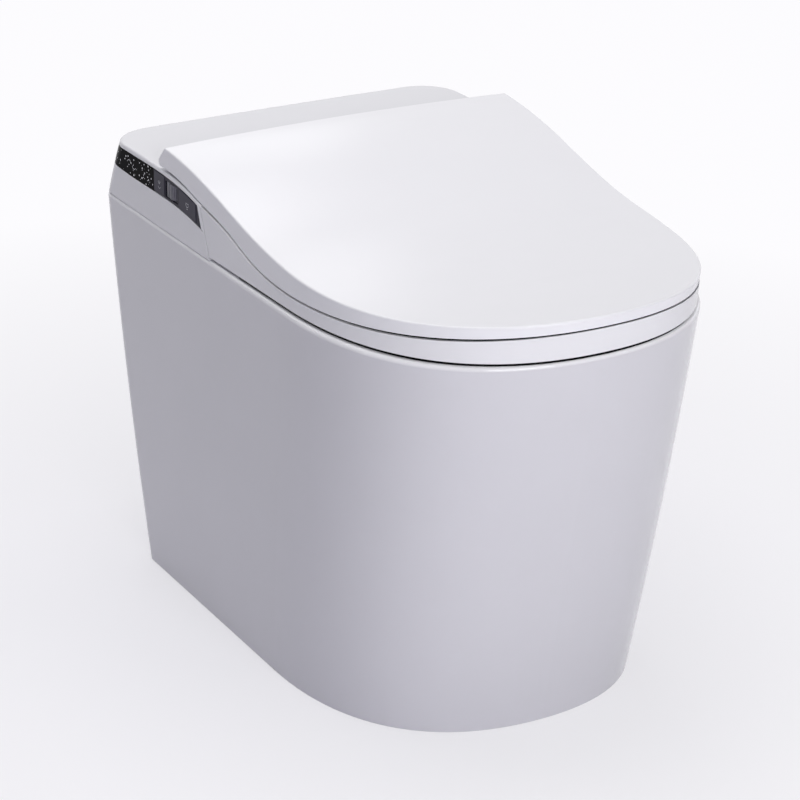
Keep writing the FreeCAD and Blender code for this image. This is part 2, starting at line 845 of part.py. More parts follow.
def outer_ring(inset):
    ring = seat_loft(inset, seat_floor + 4.0, housing_top + 1.0)
    ring = ring.cut(seam_wedge(inset + 16.0))
    return ring.cut(seat_hole(inset, seat_floor, housing_top + 3.0))


def make_seat_bumpers():
    pads = []
    top = seat_floor
    middle = body_half_width - 30.0
    front = body_front - 30.5
    for side in (-1, 1):
        pads.append(block(side * middle - 6.0, side * middle + 6.0, 330.0, 356.0,
                          top - seat_bumper_height, top))
        pads.append(block(side * 62.0 - 13.0, side * 62.0 + 13.0, front, front + 12.0,
                          top - seat_bumper_height, top))
    return group(pads)


def make_seat_sensor():
    top = seat_floor + seat_plate
    middle = body_half_width - 50.0
    body = block(middle - 10.0, middle + 10.0, 430.0, 446.0, top, top + seat_rib)
    stud = rod(at(middle, 438.0, top), UP, 4.0, seat_rib + 1.6)
    return fused([body, stud])


# ---- lid ----
def lid_plan(inset):
    # straight flare up to the edge, then upright
    slope = (lid_front - lid_low_front) / (lid_flare_top - lid_flare_low)
    low = lid_flare_low - 14.0
    sections = []
    for z, front in ((low, lid_low_front - 14.0 * slope), (lid_flare_top, lid_front),
                     (lid_flare_top + 58.0, lid_front)):
        sections.append(outline(z, lid_rear_half_width - inset, lid_half_width - inset, 100.0,
                                seat_straight, front - inset, 4.0))
    return fused([loft(sections[:2]), loft(sections[1:])])


def lid_low_line():
    lifted = [(depth, z + lid_gap) for depth, z in seat_side_line if depth >= seam_top_depth]
    return [(hinge_depth, hinge_height - lid_corner_radius),
            (hinge_depth + 49.0, hinge_height - 8.4)] + lifted


def lid_section(x, crowns, lean):
    # side view of the lid: underside, front, crowned top, slanted rear, round hinge corner
    low = [at(x, depth, z) for depth, z in lid_low_line()]
    top = []
    for (depth, z), crown in zip(lid_side_line, crowns):
        push = lean * max(0.0, 1.0 - (depth - lid_rear_top_depth) / lid_lean_reach)
        top.append(at(x, depth + push, z + crown))
    leave, bend = rear_tangent(x, lid_rear_top_depth + lean, lid_side_line[0][1] + crowns[0])
    return Part.Wire([curve(low), line(low[-1], top[-1]), curve(top[::-1]), line(top[0], leave),
                      Part.Arc(leave, bend, low[0]).toShape()])


def lid_profile():
    flat = [0.0] * len(lid_crown)
    return loft([lid_section(-slab_reach, flat, 0.0), lid_section(0.0, lid_crown, lid_rear_lean),
                 lid_section(slab_reach, flat, 0.0)])


def rear_tangent(x, depth, height):
    # where the slanted rear face leaves the round corner about the hinge, and mid corner
    away = math.hypot(depth - hinge_depth, height - hinge_height)
    aim = math.atan2(height - hinge_height, depth - hinge_depth)
    turn = aim + math.acos(lid_corner_radius / away)
    half = (turn + math.radians(270.0)) / 2.0
    points = []
    for angle in (turn, half):
        points.append(at(x, hinge_depth + lid_corner_radius * math.cos(angle),
                         hinge_height + lid_corner_radius * math.sin(angle)))
    return points


def lid_fill(drop, rear):
    # everything under the lid's top, from the rear depth forwards
    middle = [(depth, z + crown) for (depth, z), crown in zip(lid_side_line, lid_crown)]
    under = saddle(lid_side_line, middle, drop, slab_floor, slab_reach)
    return under.common(block(-far, far, rear, lid_front + 10.0, slab_floor - 10.0,
                              hinge_height + tall))


def hinge_slot(side):
    inner, outer = lug_spans()
    low, high = mirrored((inner[0] - hinge_side_gap, outer[1] + hinge_side_gap), side)
    round_slot = cross_rod(low, high, hinge_depth, hinge_height, lid_slot_radius)
    below = block(low, high, hinge_depth - 12.0, lid_hollow_rear + 1.0,
                  hinge_height - 12.0, hinge_height)
    ahead = block(low, high, hinge_depth, lid_hollow_rear + 1.0, hinge_height, lid_slot_top)
    return fused([round_slot, below, ahead])


def hinge_bore(side):
    inner, outer = ear_spans()
    low, high = mirrored((inner[0], outer[1]), side)
    return cross_rod(low, high, hinge_depth, hinge_height, hinge_pin_radius + hinge_clearance)


def make_lid_shell():
    lid = lid_profile().common(lid_plan(0.0))
    lid = lid.makeFillet(lid_edge_radius, lid_rim_edges(lid))
    lid = lid.cut(lid_fill(lid_wall, lid_hollow_rear).common(lid_plan(lid_wall)))
    for side in (-1, 1):
        lid = lid.cut(hinge_slot(side))
        lid = lid.cut(hinge_bore(side))
    return lid


def lid_rim_edges(lid):
    # the long edges between the crowned top and the sides and front
    chosen = []
    for edge in lid.Edges:
        box = edge.BoundBox
        long_edge = edge.Length > 60.0
        if long_edge and box.ZMin > 447.5 and box.YMax - box.YMin > 60.0:
            chosen.append(edge)
    return chosen


def make_lid_panel():
    low = lid_gap + lid_panel_gap
    above = saddle(seat_side_line, seat_side_line, -low - lid_panel, slab_floor, slab_reach)
    below = saddle(seat_side_line, seat_side_line, -low, slab_floor - 1.0, slab_reach)
    plate = above.cut(below).common(lid_plan(lid_wall + seat_joint_gap))
    plate = plate.common(block(-far, far, lid_panel_rear, lid_front, slab_floor,
                               hinge_height + tall))
    for spot in lid_bumper_spots():
        plate = plate.cut(rod(at(spot[0], spot[1], slab_floor), UP, lid_bumper_radius, tall))
    return plate


def lid_bumper_spots():
    side = body_half_width - 50.0
    return [(-side, 430.0), (side, 430.0), (-72.0, bowl_front + 10.0), (72.0, bowl_front + 10.0)]


def make_lid_bumpers():
    low = lid_gap + lid_panel_gap
    above = saddle(seat_side_line, seat_side_line, -low - lid_panel, slab_floor, slab_reach)
    pads = []
    for x, depth in lid_bumper_spots():
        pad = rod(at(x, depth, slab_floor), UP, lid_bumper_radius, tall)
        pads.append(pad.common(above).cut(seat_slab(-lid_bumper_gap, slab_floor - 1.0)))
    return group(pads)


# ---- hinge ----
def make_hinge_frame():
    low, high = beam_depths
    shapes = [block(-beam_half, beam_half, low, high, beam_low, beam_low + beam_thickness)]
    foot = rim_height + tub_wall
    for side in (-1, 1):
        leg_low, leg_high = mirrored((beam_half - beam_thickness, beam_half), side)
        shapes.append(block(leg_low, leg_high, low, high, foot, beam_low + 1.0))
        toe_low, toe_high = mirrored((beam_half - beam_leg - beam_thickness, beam_half), side)
        shapes.append(block(toe_low, toe_high, low, high, foot, foot + beam_thickness))
        for span in lug_spans():
            lug_low, lug_high = mirrored(span, side)
            shapes.append(block(lug_low, lug_high, hinge_depth - hinge_eye_radius,
                                hinge_depth + hinge_eye_radius, beam_low + 1.0, hinge_height))
            shapes.append(cross_rod(lug_low, lug_high, hinge_depth, hinge_height,
                                    hinge_eye_radius))
    frame = fused(shapes)
    for side in (-1, 1):
        frame = frame.cut(hinge_bore(side))
    return frame


def make_hinge_pins():
    inner, outer = ear_spans()
    pins = []
    for side in (-1, 1):
        low, high = mirrored((inner[0] + 0.5, outer[1] - 0.5), side)
        pins.append(cross_rod(low, high, hinge_depth, hinge_height, hinge_pin_radius))
    return group(pins)


# ---- wash unit ----
def tilted(shape):
    shape.rotate(at(0, nozzle_tip_depth, nozzle_tip_height), ACROSS, nozzle_slope)
    return shape


def behind_tip(x_low, x_high, start, end, z_low, z_high):
    # block measured along the wand, back from its tip, before it is tilted
    return block(x_low, x_high, nozzle_tip_depth - end, nozzle_tip_depth - start,
                 nozzle_tip_height + z_low, nozzle_tip_height + z_high)


def wand_rod(start, end, radius):
    return rod(at(0, nozzle_tip_depth - end, nozzle_tip_height), FORWARD, radius,
               end - start)


def gear_pitch():
    return gear_module * gear_teeth / 2.0


def tooth_half(rise):
    # half thickness of a tooth at a height above the pitch line, with 20 degree flanks
    tooth = math.pi * gear_module / 4.0 - gear_backlash / 4.0
    return tooth - rise * math.tan(math.radians(20.0))


def rack_teeth():
    pitch = math.pi * gear_module
    teeth = []
    count = int((nozzle_length - gear_along) / pitch) + 1
    for i in range(-1, count):
        along = gear_along + (i + 0.5) * pitch
        if along + pitch / 2.0 > nozzle_length:
            continue
        points = []
        for rise, sign in ((-gear_root - 0.3, -1), (gear_tip, -1), (gear_tip, 1),
                           (-gear_root - 0.3, 1)):
            points.append((nozzle_tip_depth - along + sign * tooth_half(rise),
                           nozzle_tip_height + rack_lift + rise))
        teeth.append(side_polygon(points, -gear_width / 2.0, gear_width / 2.0))
    return teeth


def make_wand():
    body = wand_rod(nozzle_tip_length, nozzle_length, nozzle_radius)
    base = behind_tip(-gear_width / 2.0, gear_width / 2.0, gear_along - 5.0, nozzle_length,
                      rack_base, rack_lift - gear_root)
    wand = fused([body, base] + rack_teeth())
    wand = wand.cut(wand_rod(nozzle_tip_length - 1.0, nozzle_length + 1.0, nozzle_bore))
    return tilted(wand)


def make_nozzle_tip():
    tip = wand_rod(2.0, nozzle_tip_length, nozzle_radius)
    jets = []
    for along in (9.0, 16.0):
        jets.append(rod(at(0, nozzle_tip_depth - along, nozzle_tip_height), UP, 1.0, 9.0))
    tip = tip.cut(group(jets))
    tip = tip.cut(wand_rod(6.0, nozzle_tip_length + 1.0, nozzle_bore))
    tip = tilted(tip)
    front = block_front + cap_gap
    half = nozzle_cap_width / 2.0
    middle = nozzle_tip_height - math.tan(math.radians(nozzle_slope)) * 2.0
    cap = block(-half, half, front, front + nozzle_cap_thickness,
                middle - nozzle_cap_height / 2.0, middle + nozzle_cap_height / 2.0)
    neck = wand_rod(-4.0, 8.0, nozzle_radius - 1.5)
    neck = tilted(neck).common(block(-tall, tall, block_rear, front + 1.0, notch_floor - tall,
                                             rim_height))
    return fused([tip, neck, cap])


def make_rail():
    half = nozzle_radius + nozzle_clearance
    start = (nozzle_tip_depth - block_rear) / math.cos(math.radians(nozzle_slope)) + 6.0
    end = start + rail_length
    rail = behind_tip(-half - rail_wall, half + rail_wall, start, end,
                      -half - rail_wall, rail_height)
    cheek_top = rack_lift + gear_pitch() + 8.0
    for side in (-1, 1):
        low, high = mirrored((half, half + rail_wall), side)
        rail = rail.fuse(behind_tip(low, high, gear_along - 8.0, gear_along + 8.0,
                                    0.0, cheek_top))
    rail = rail.cut(wand_rod(start - 1.0, end + 1.0, half))
    rail = rail.cut(behind_tip(-half, half, start - 1.0, end + 1.0, 0.0, rail_height + 20.0))
    rail = rail.cut(gear_rod(-tall, tall, gear_axle_radius + hinge_clearance))
    rail = tilted(rail)
    leg_depth = 130.0
    drop = (nozzle_tip_depth - leg_depth) * math.tan(math.radians(nozzle_slope))
    leg_top = nozzle_tip_height + drop - half - 1.5
    leg = block(-7.0, 7.0, leg_depth - 6.0, leg_depth + 6.0, tub_floor(), leg_top)
    return fused([rail, leg.cut(tilted(wand_rod(0.0, nozzle_length, half + 0.5)))])


def gear_rod(x_low, x_high, radius):
    return cross_rod(x_low, x_high, nozzle_tip_depth - gear_along,
                     nozzle_tip_height + rack_lift + gear_pitch(), radius)


def make_gear():
    pitch = gear_pitch()
    centre_depth = nozzle_tip_depth - gear_along
    centre_height = nozzle_tip_height + rack_lift + pitch
    half = gear_width / 2.0
    root = gear_rod(-half, half, pitch - gear_root)
    teeth = []
    for i in range(gear_teeth):
        points = []
        for rise, sign in ((-gear_root - 0.4, -1), (gear_tip, -1), (gear_tip, 1),
                           (-gear_root - 0.4, 1)):
            points.append((centre_depth + sign * tooth_half(rise),
                           centre_height - pitch - rise))
        tooth = side_polygon(points, -half, half)
        tooth.rotate(at(0, centre_depth, centre_height), ACROSS, i * 360.0 / gear_teeth)
        teeth.append(tooth)
    axle = gear_rod(-nozzle_radius - rail_wall - 1.0, nozzle_radius + rail_wall + 16.0,
                    gear_axle_radius)
    return tilted(fused([root, axle] + teeth))


def make_nozzle_motor():
    low = nozzle_radius + nozzle_clearance + rail_wall
    half = motor_size / 2.0
    middle = rack_lift + gear_pitch()
    can = behind_tip(low, low + motor_size, gear_along - half, gear_along + half,
                     middle - half, middle + half)
    can = can.makeFillet(2.0, can.Edges)
    can = can.cut(gear_rod(low - 1.0, low + 18.0, gear_axle_radius + hinge_clearance))
    return tilted(can)


def port_block(x, grow, rear, front):
    return block(x - port_half_width + grow, x + port_half_width - grow, rear, front,
                 port_low + grow, port_high - grow)


def make_outlet_block():
    half = notch_half_width - block_gap
    body = block(-half, half, block_rear, block_front, notch_floor + block_gap,
                 rim_height - block_gap)
    slot = nozzle_radius + nozzle_clearance
    lane = wand_rod(-20.0, nozzle_length, slot)
    top_lane = behind_tip(-gear_width / 2.0 - nozzle_clearance, gear_width / 2.0
                          + nozzle_clearance, -20.0, nozzle_length, 0.0,
                          rack_lift + gear_tip + nozzle_clearance)
    body = body.cut(tilted(lane)).cut(tilted(top_lane))
    body = body.cut(port_block(port_x, 0.0, block_rear - 1.0, block_front + 1.0))
    body = body.cut(port_block(-port_x, 0.0, block_rear - 1.0, block_front - 3.0))
    pitch = (port_high - port_low) / grille_slots
    for i in range(grille_slots):
        low = port_low + (i + 0.5) * pitch - grille_slot / 2.0
        body = body.cut(block(-port_x - port_half_width, -port_x + port_half_width,
                              block_front - 4.0, block_front + 1.0, low, low + grille_slot))
    ears = []
    for side in (-1, 1):
        middle = port_x + side * (port_half_width + flap_margin + 0.4 + flap_ear / 2.0)
        ears.append(block(middle - flap_ear / 2.0, middle + flap_ear / 2.0, block_front - 1.0,
                          flap_pin_depth() + 2.6, flap_pin_height - 2.6,
                          flap_pin_height + 2.6))
    body = fused([body] + ears)
    bore = cross_rod(port_x - tall, port_x + tall, flap_pin_depth(), flap_pin_height,
                     flap_pin_radius + hinge_clearance)
    return body.cut(bore)


def flap_pin_depth():
    return block_front + cap_gap + flap_thickness / 2.0 - flap_pin_rise + 1.0


def make_dryer_flap():
    half = port_half_width + flap_margin
    front = block_front + cap_gap
    leaf = block(port_x - half, port_x + half, front, front + flap_thickness,
                 port_low - flap_margin, flap_pin_height - 1.0)
    knuckle = cross_rod(port_x - half, port_x + half, flap_pin_depth(), flap_pin_height, 2.2)
    knuckle = knuckle.common(block(-tall, tall, front, front + 10.0, notch_floor,
                                   rim_height))
    pin = cross_rod(port_x - half - flap_ear, port_x + half + flap_ear, flap_pin_depth(),
                    flap_pin_height, flap_pin_radius)
    return fused([leaf, knuckle, pin])


# ---- tub and inner units ----
def tub_floor():
    return pocket_floor + tub_gap + tub_wall


def make_tub():
    deck = rim_height
    well = block(-pocket_half_width + tub_gap, pocket_half_width - tub_gap,
                 pocket_rear + tub_gap, pocket_front - tub_gap, pocket_floor + tub_gap, deck)
    inside = block(-pocket_half_width + tub_gap + tub_wall,
                   pocket_half_width - tub_gap - tub_wall, pocket_rear + tub_gap + tub_wall,
                   pocket_front - tub_gap - tub_wall, tub_floor(), deck + tall)
    flange = block(-tub_flange_half, tub_flange_half, tub_flange_rear, tub_flange_front,
                   deck, deck + tub_wall)
    tub = fused([well, flange]).cut(inside)
    tub = tub.cut(block(-notch_half_width + 0.5, notch_half_width - 0.5, block_rear - 1.0,
                        tub_flange_front + 1.0, notch_floor + block_gap - 0.5,
                        deck + tall))
    tub = tub.cut(rod(at(hose_port_x, 0, hose_port_height), FORWARD,
                      inlet_radius - 2.0, 40.0))
    tub = tub.cut(rod(at(flush_pipe_x, 200.0, flush_pipe_height), FORWARD,
                      flush_pipe_radius + 0.3, 60.0))
    for x, depth in chassis_screw_spots():
        tub = tub.cut(rod(at(x, depth, deck - 1.0), UP, screw_radius + 0.2, 20.0))
    return tub


def chassis_screw_spots():
    side = tub_flange_half - 17.0
    return [(-side, 44.0), (side, 44.0), (-side, tub_flange_front - 14.0),
            (side, tub_flange_front - 14.0)]


def make_chassis_screws():
    screws = []
    top = rim_height + tub_wall
    for x, depth in chassis_screw_spots():
        shank = rod(at(x, depth, top - screw_reach), UP, screw_radius, screw_reach + 0.5)
        head = Part.makeCone(screw_head, screw_head * 0.7, 2.2, at(x, depth, top), UP)
        screws.append(fused([shank, head]))
    return group(screws)


def make_inlet_fitting():
    z = hose_port_height
    start = inlet_start
    nipple = rod(at(hose_port_x, start, z), FORWARD, inlet_radius, inlet_reach)
    collar = rod(at(hose_port_x, start + inlet_reach, z), FORWARD, inlet_radius + 3.0, 8.5)
    neck = rod(at(hose_port_x, start + 21.0, z), FORWARD, inlet_radius - 2.3,
               inlet_valve_depths[0] - start - 21.0)
    bore = rod(at(hose_port_x, 0.0, z), FORWARD, inlet_bore, inlet_valve_depths[1])
    return fused([nipple, collar, neck]).cut(bore)


def make_inlet_valve():
    z = hose_port_height
    rear, front = inlet_valve_depths
    middle = (rear + front) / 2.0
    body = block(hose_port_x - inlet_valve_half, hose_port_x + inlet_valve_half, rear, front,
                 tub_floor(), z + inlet_valve_half - 3.0)
    body = body.makeFillet(2.5, upright_edges(body, 20.0))
    bore = rod(at(hose_port_x, rear - 1.0, z), FORWARD, inlet_bore, (front - rear) * 0.75)
    coil = rod(at(hose_port_x, middle, z + inlet_valve_half - 3.0), UP, coil_radius, 24.0)
    return fused([body.cut(bore), coil])


def unit_box(sizes):
    x_low, x_high, depth_low, depth_high, height = sizes
    return block(x_low, x_high, depth_low, depth_high, tub_floor(), tub_floor() + height)


def make_water_heater():
    tank = unit_box(heater_tank)
    top = tub_floor() + heater_tank[4]
    tank = tank.makeFillet(5.0, edges_above(tank, top - 1.0) + upright_edges(tank, 20.0))
    middle = (heater_tank[0] + heater_tank[1]) / 2.0
    ports = [rod(at(middle, depth, top - 2.0), UP, 5.0, 12.0) for depth in heater_ports]
    return fused([tank] + ports)


def make_wash_pump():
    x = (pump_base[0] + pump_base[1]) / 2.0
    z = tub_floor() + pump_radius + 4.0
    start = pump_base[2] + 2.0
    barrel = rod(at(x, start, z), FORWARD, pump_radius, 46.0)
    head = rod(at(x, start + 46.0, z), FORWARD, pump_radius - 3.0, 16.0)
    spout = rod(at(x, start + 54.0, z + 9.0), UP, 4.0, 18.0)
    return fused([unit_box(pump_base), barrel, head, spout])


def make_flush_valve():
    low = tub_floor()
    z = flush_pipe_height
    x = flush_pipe_x
    rear, front = flush_valve_depths
    middle = (rear + front) / 2.0
    body = block(x - 20.0, x + 20.0, rear, front, low, z + 14.0)
    body = body.makeFillet(3.0, upright_edges(body, 20.0))
    dome = Part.makeCone(19.0, 14.0, 16.0, at(x, middle, z + 14.0), UP)
    bore = rod(at(x, middle, z), FORWARD, flush_pipe_bore, front)
    return fused([body, dome]).cut(bore)


def make_flush_pipe():
    rear = flush_valve_depths[1]
    start = at(flush_pipe_x, rear, flush_pipe_height)
    length = bowl_rear + 10.0 - rear
    tube = rod(start, FORWARD, flush_pipe_radius, length)
    return tube.cut(rod(start, FORWARD, flush_pipe_bore, length))


def make_power_supply():
    case = unit_box(supply_case)
    case = case.makeFillet(2.0, upright_edges(case, 20.0))
    top = tub_floor() + supply_case[4]
    fins = []
    for i in range(supply_fins):
        x = supply_case[0] + 4.0 + i * supply_fin_pitch
        fins.append(block(x, x + 2.0, supply_case[2] + 4.0, supply_case[3] - 4.0, top - 1.0,
                          top + 6.0))
    return fused([case] + fins)


def make_control_board():
    top = rim_height + tub_wall
    low = top + board_lift
    shapes = [block(*board_box, low, low + board_thickness)]
    for x, depth in board_posts:
        shapes.append(rod(at(x, depth, top), UP, 2.5, board_lift))
    for x, depth, width, length, height in board_chips:
        shapes.append(block(x, x + width, depth, depth + length, low + 1.0,
                            low + board_thickness + height))
    return fused(shapes)


def scroll_cavity(grow, low, high):
    # round fan chamber with a duct that leaves it towards the outlet block
    chamber = rod(at(fan_x, fan_depth, low), UP, fan_radius + fan_scroll_gap + grow, high - low)
    left = port_x - port_half_width + fan_wall - grow
    right = port_x + port_half_width - fan_wall + grow
    duct = block(left, right, fan_depth + 10.0 - grow, block_rear, low, high)
    throat = block(right - 12.0, fan_x, fan_depth + 12.0 - grow,
                   fan_depth + fan_radius + fan_scroll_gap + grow, low, high)
    return fused([chamber, duct, throat])


def make_fan_housing():
    low = fan_floor
    high = low + fan_height + 2.0 * fan_wall + 3.0
    shell = scroll_cavity(fan_wall, low, high)
    shell = shell.cut(scroll_cavity(0.0, low + fan_wall, high - fan_wall))
    shell = shell.cut(rod(at(fan_x, fan_depth, high - 5.0), UP, fan_inlet_radius, 10.0))
    return shell.cut(rod(at(fan_x, fan_depth, low - 1.0), UP, fan_shaft_radius + 1.0, 10.0))


def make_fan_wheel():
    low = fan_floor + fan_wall + 1.5
    disc = rod(at(fan_x, fan_depth, low), UP, fan_radius, 1.5)
    hub = rod(at(fan_x, fan_depth, low), UP, 6.0, fan_height - 6.0)
    shapes = [disc, hub]
    ring = rod(at(fan_x, fan_depth, low + fan_height - 1.5), UP, fan_radius, 1.5)
    shapes.append(ring.cut(rod(at(fan_x, fan_depth, low), UP, fan_radius - 5.0, fan_height)))
    for i in range(fan_blades):
        blade = block(fan_x + fan_radius - 6.5, fan_x + fan_radius - 0.6, fan_depth - 0.5,
                      fan_depth + 0.5, low + 1.0, low + fan_height - 1.0)
        blade.rotate(at(fan_x + fan_radius - 3.5, fan_depth, low), UP, 35.0)
        blade.rotate(at(fan_x, fan_depth, low), UP, i * 360.0 / fan_blades)
        shapes.append(blade)
    wheel = fused(shapes)
    return wheel.cut(rod(at(fan_x, fan_depth, low - 1.0), UP,
                         fan_shaft_radius + hinge_clearance, fan_height - 8.0))


def make_fan_motor():
    low = tub_floor()
    top = fan_floor
    can_low = top - motor_can_height
    pedestal = rod(at(fan_x, fan_depth, low), UP, 12.0, can_low + 2.0 - low)
    can = rod(at(fan_x, fan_depth, can_low), UP, motor_can_radius, motor_can_height)
    shaft = rod(at(fan_x, fan_depth, top - 1.0), UP, fan_shaft_radius, fan_height - 6.0)
    return fused([pedestal, can, shaft])


def cartridge_box(grow, x_low, x_high):
    return block(x_low, x_high, cartridge_depths[0] - grow, cartridge_depths[1] + grow,
                 cartridge_heights[0] - grow, cartridge_heights[1] + grow)


def cartridge_face():
    return housing_top_half_width - 0.4


def make_cartridge_sleeve():
    face = cartridge_face()
    inner = cartridge_gap
    outer = cartridge_gap + cartridge_wall
    start = face - cartridge_reach - 3.0
    end = housing_half_width - cover_wall - 1.0
    sleeve = cartridge_box(outer, start, end)
    sleeve = sleeve.cut(cartridge_box(inner, start + cartridge_wall, end + 1.0))
    low = rim_height + tub_wall
    feet = []
    for depth in (cartridge_depths[0] + 4.0, cartridge_depths[1] - 10.0):
        feet.append(block(face - 46.0, face - 16.0, depth, depth + 6.0, low,
                          cartridge_heights[0] - inner - 1.0))
    return fused([sleeve] + feet)


def make_cartridge():
    face = cartridge_face()
    start = face - cartridge_reach
    case = cartridge_box(0.0, start, face)
    hollow = cartridge_box(-2.0, start + 2.0, face - 6.0)
    case = case.cut(hollow)
    grip = cross_rod(face - 3.0, face + 1.0, (cartridge_depths[0] + cartridge_depths[1]) / 2.0,
                     (cartridge_heights[0] + cartridge_heights[1]) / 2.0, 8.0)
    case = case.cut(grip)
    for i in range(6):
        depth = cartridge_depths[0] + 6.0 + i * 6.2
        case = case.cut(block(start - 1.0, start + 3.0, depth, depth + 3.0,
                              cartridge_heights[0] + 5.0, cartridge_heights[1] - 5.0))
    return case


def make_carbon_block():
    start = cartridge_face() - cartridge_reach
    return cartridge_box(-2.3, start + 2.3, start + cartridge_reach - 6.3)


# ---- controls ----
def button(depths, low, high):
    # a plate that follows the housing's side and stands proud of it, with a stem behind
    inner = housing_solid(button_thickness - button_proud, housing_floor - 1.0)
    skin = housing_solid(-button_proud, housing_floor).cut(inner)
    side = block(-far, -board_post_x, 0.0, lid_front, slab_floor, wedge_high)
    plate = skin.common(button_space(depths, 0.0)).common(side)
    middle = (depths[0] + depths[1]) / 2.0
    start = -housing_half_width + 2.0
    stem = cross_rod(start, button_stem_end, middle, (low + high) / 2.0, 2.0)
    return fused([plate, stem])


def make_wash_button():
    return button(wash_button_depths, button_low, button_high)


def make_flush_button():
    low, high = flush_heights()
    return button(flush_button_depths, low, high)


def make_switch_boards():
    gap = button_travel + switch_clearance
    face = button_stem_end + gap
    boards = []
    flush_low, flush_high = flush_heights()
    for depths, low, high, post in ((wash_button_depths, button_low, button_high,
                                     wash_button_depths[0] - 3.4),
                                    (flush_button_depths, flush_low, flush_high,
                                     flush_button_depths[1] + 3.4)):
        middle = (depths[0] + depths[1]) / 2.0
        level = (low + high) / 2.0
        start = min(depths[0], post - 1.6)
        end = max(depths[1], post + 1.6)
        board = block(face + 3.0, face + 3.0 + board_thickness, start, end, low, high - 1.5)
        switch = block(face, face + 3.5, middle - 3.0, middle + 3.0, level - 3.0, level + 3.0)
        shapes = [board, switch]
        for z in (low + 2.5, high - 3.5):
            shapes.append(cross_rod(-board_post_x, face + 3.5, post, z, 1.5))
        boards.append(fused(shapes))
    return group(boards)


def make_display_board():
    low = -display_board_x
    return block(low, low + board_thickness, display_depths[0] - 4.0, display_depths[1] + 4.0,
                 display_heights[0] - 2.5, display_heights[1] + 2.0)


def display_window():
    return window(display_depths, display_heights[0], display_heights[1], side_reach)


def make_wheel():
    x = wheel_centre_x()
    low = wheel_centre_height - wheel_height / 2.0
    wheel = rod(at(x, wheel_depth, low), UP, wheel_radius, wheel_height)
    wheel = wheel.makeChamfer(0.8, [e for e in wheel.Edges if e.BoundBox.ZLength < 0.1])
    for i in range(wheel_rib_count):
        angle = math.radians((i + 0.5) * 360.0 / wheel_rib_count)
        groove = rod(at(x + wheel_radius * math.cos(angle),
                        wheel_depth + wheel_radius * math.sin(angle), low - 1.0), UP,
                     wheel_rib_depth, wheel_height + 2.0)
        wheel = wheel.cut(groove)
    return wheel.cut(rod(at(x, wheel_depth, low - 1.0), UP,
                         wheel_axle_radius + hinge_clearance, wheel_height + 2.0))


def make_wheel_holder():
    x = wheel_centre_x()
    low = wheel_centre_height - wheel_height / 2.0
    high = low + wheel_height
    back = x + wheel_radius + 2.0
    front = -board_post_x
    shapes = [block(front, back + 2.0, wheel_depth - 8.0, wheel_depth + 8.0,
                    low - 3.2, low - 1.2),
              block(front + 3.0, back + 2.0, wheel_depth - 8.0, wheel_depth + 8.0,
                    high + 1.2, high + 3.2),
              block(back, back + 2.0, wheel_depth - 8.0, wheel_depth + 8.0,
                    low - 2.0, high + 2.0),
              rod(at(x, wheel_depth, low - 3.2), UP, wheel_axle_radius, wheel_height + 6.4)]
    return fused(shapes)


glass, bezel, trim = strip_pieces()
parts["ceramic_body"] = make_ceramic()
parts["outlet_seal"] = make_outlet_seal()
parts["chassis_tub"] = make_tub()
parts["chassis_screws"] = make_chassis_screws()
parts["rear_cover"] = make_cover()
parts["side_glass_strip"] = glass
parts["control_bezel"] = bezel
parts["strip_end_trim"] = trim
parts["display_board"] = make_display_board()
parts["switch_boards"] = make_switch_boards()
parts["wash_button"] = make_wash_button()
parts["flush_button"] = make_flush_button()
parts["thumb_wheel"] = make_wheel()
parts["wheel_holder"] = make_wheel_holder()
parts["hinge_frame"] = make_hinge_frame()
parts["hinge_pins"] = make_hinge_pins()
parts["seat_top_shell"] = make_seat_top()
parts["seat_bottom_shell"] = make_seat_bottom()
parts["seat_heating_foil"] = make_seat_heater()
parts["seat_temperature_sensor"] = make_seat_sensor()
parts["seat_bumpers"] = make_seat_bumpers()
parts["lid_shell"] = make_lid_shell()
parts["lid_inner_panel"] = make_lid_panel()
parts["lid_bumpers"] = make_lid_bumpers()
parts["nozzle_wand"] = make_wand()
parts["nozzle_tip"] = make_nozzle_tip()
parts["nozzle_rail"] = make_rail()
parts["nozzle_drive_gear"] = make_gear()
parts["nozzle_motor"] = make_nozzle_motor()
parts["outlet_block"] = make_outlet_block()
parts["dryer_flap"] = make_dryer_flap()
parts["dryer_fan_housing"] = make_fan_housing()
parts["dryer_fan_wheel"] = make_fan_wheel()
parts["dryer_fan_motor"] = make_fan_motor()
parts["cartridge_sleeve"] = make_cartridge_sleeve()
parts["deodoriser_cartridge"] = make_cartridge()
parts["carbon_block"] = make_carbon_block()
parts["inlet_fitting"] = make_inlet_fitting()
parts["inlet_valve"] = make_inlet_valve()
parts["water_heater"] = make_water_heater()
parts["wash_pump"] = make_wash_pump()
parts["flush_valve"] = make_flush_valve()
parts["flush_pipe"] = make_flush_pipe()
parts["power_supply"] = make_power_supply()
parts["control_board"] = make_control_board()
parts["cord_gland"] = make_cord_gland()

os.makedirs("parts", exist_ok=True)
for name, shape in parts.items():
    if not shape.isValid() or not shape.Solids:
        print("not a valid solid:", name)
    shape.exportStep("parts/" + name + ".step")
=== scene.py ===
import json
import math
import random

import bmesh
import bpy
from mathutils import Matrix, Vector
from mathutils.bvhtree import BVHTree


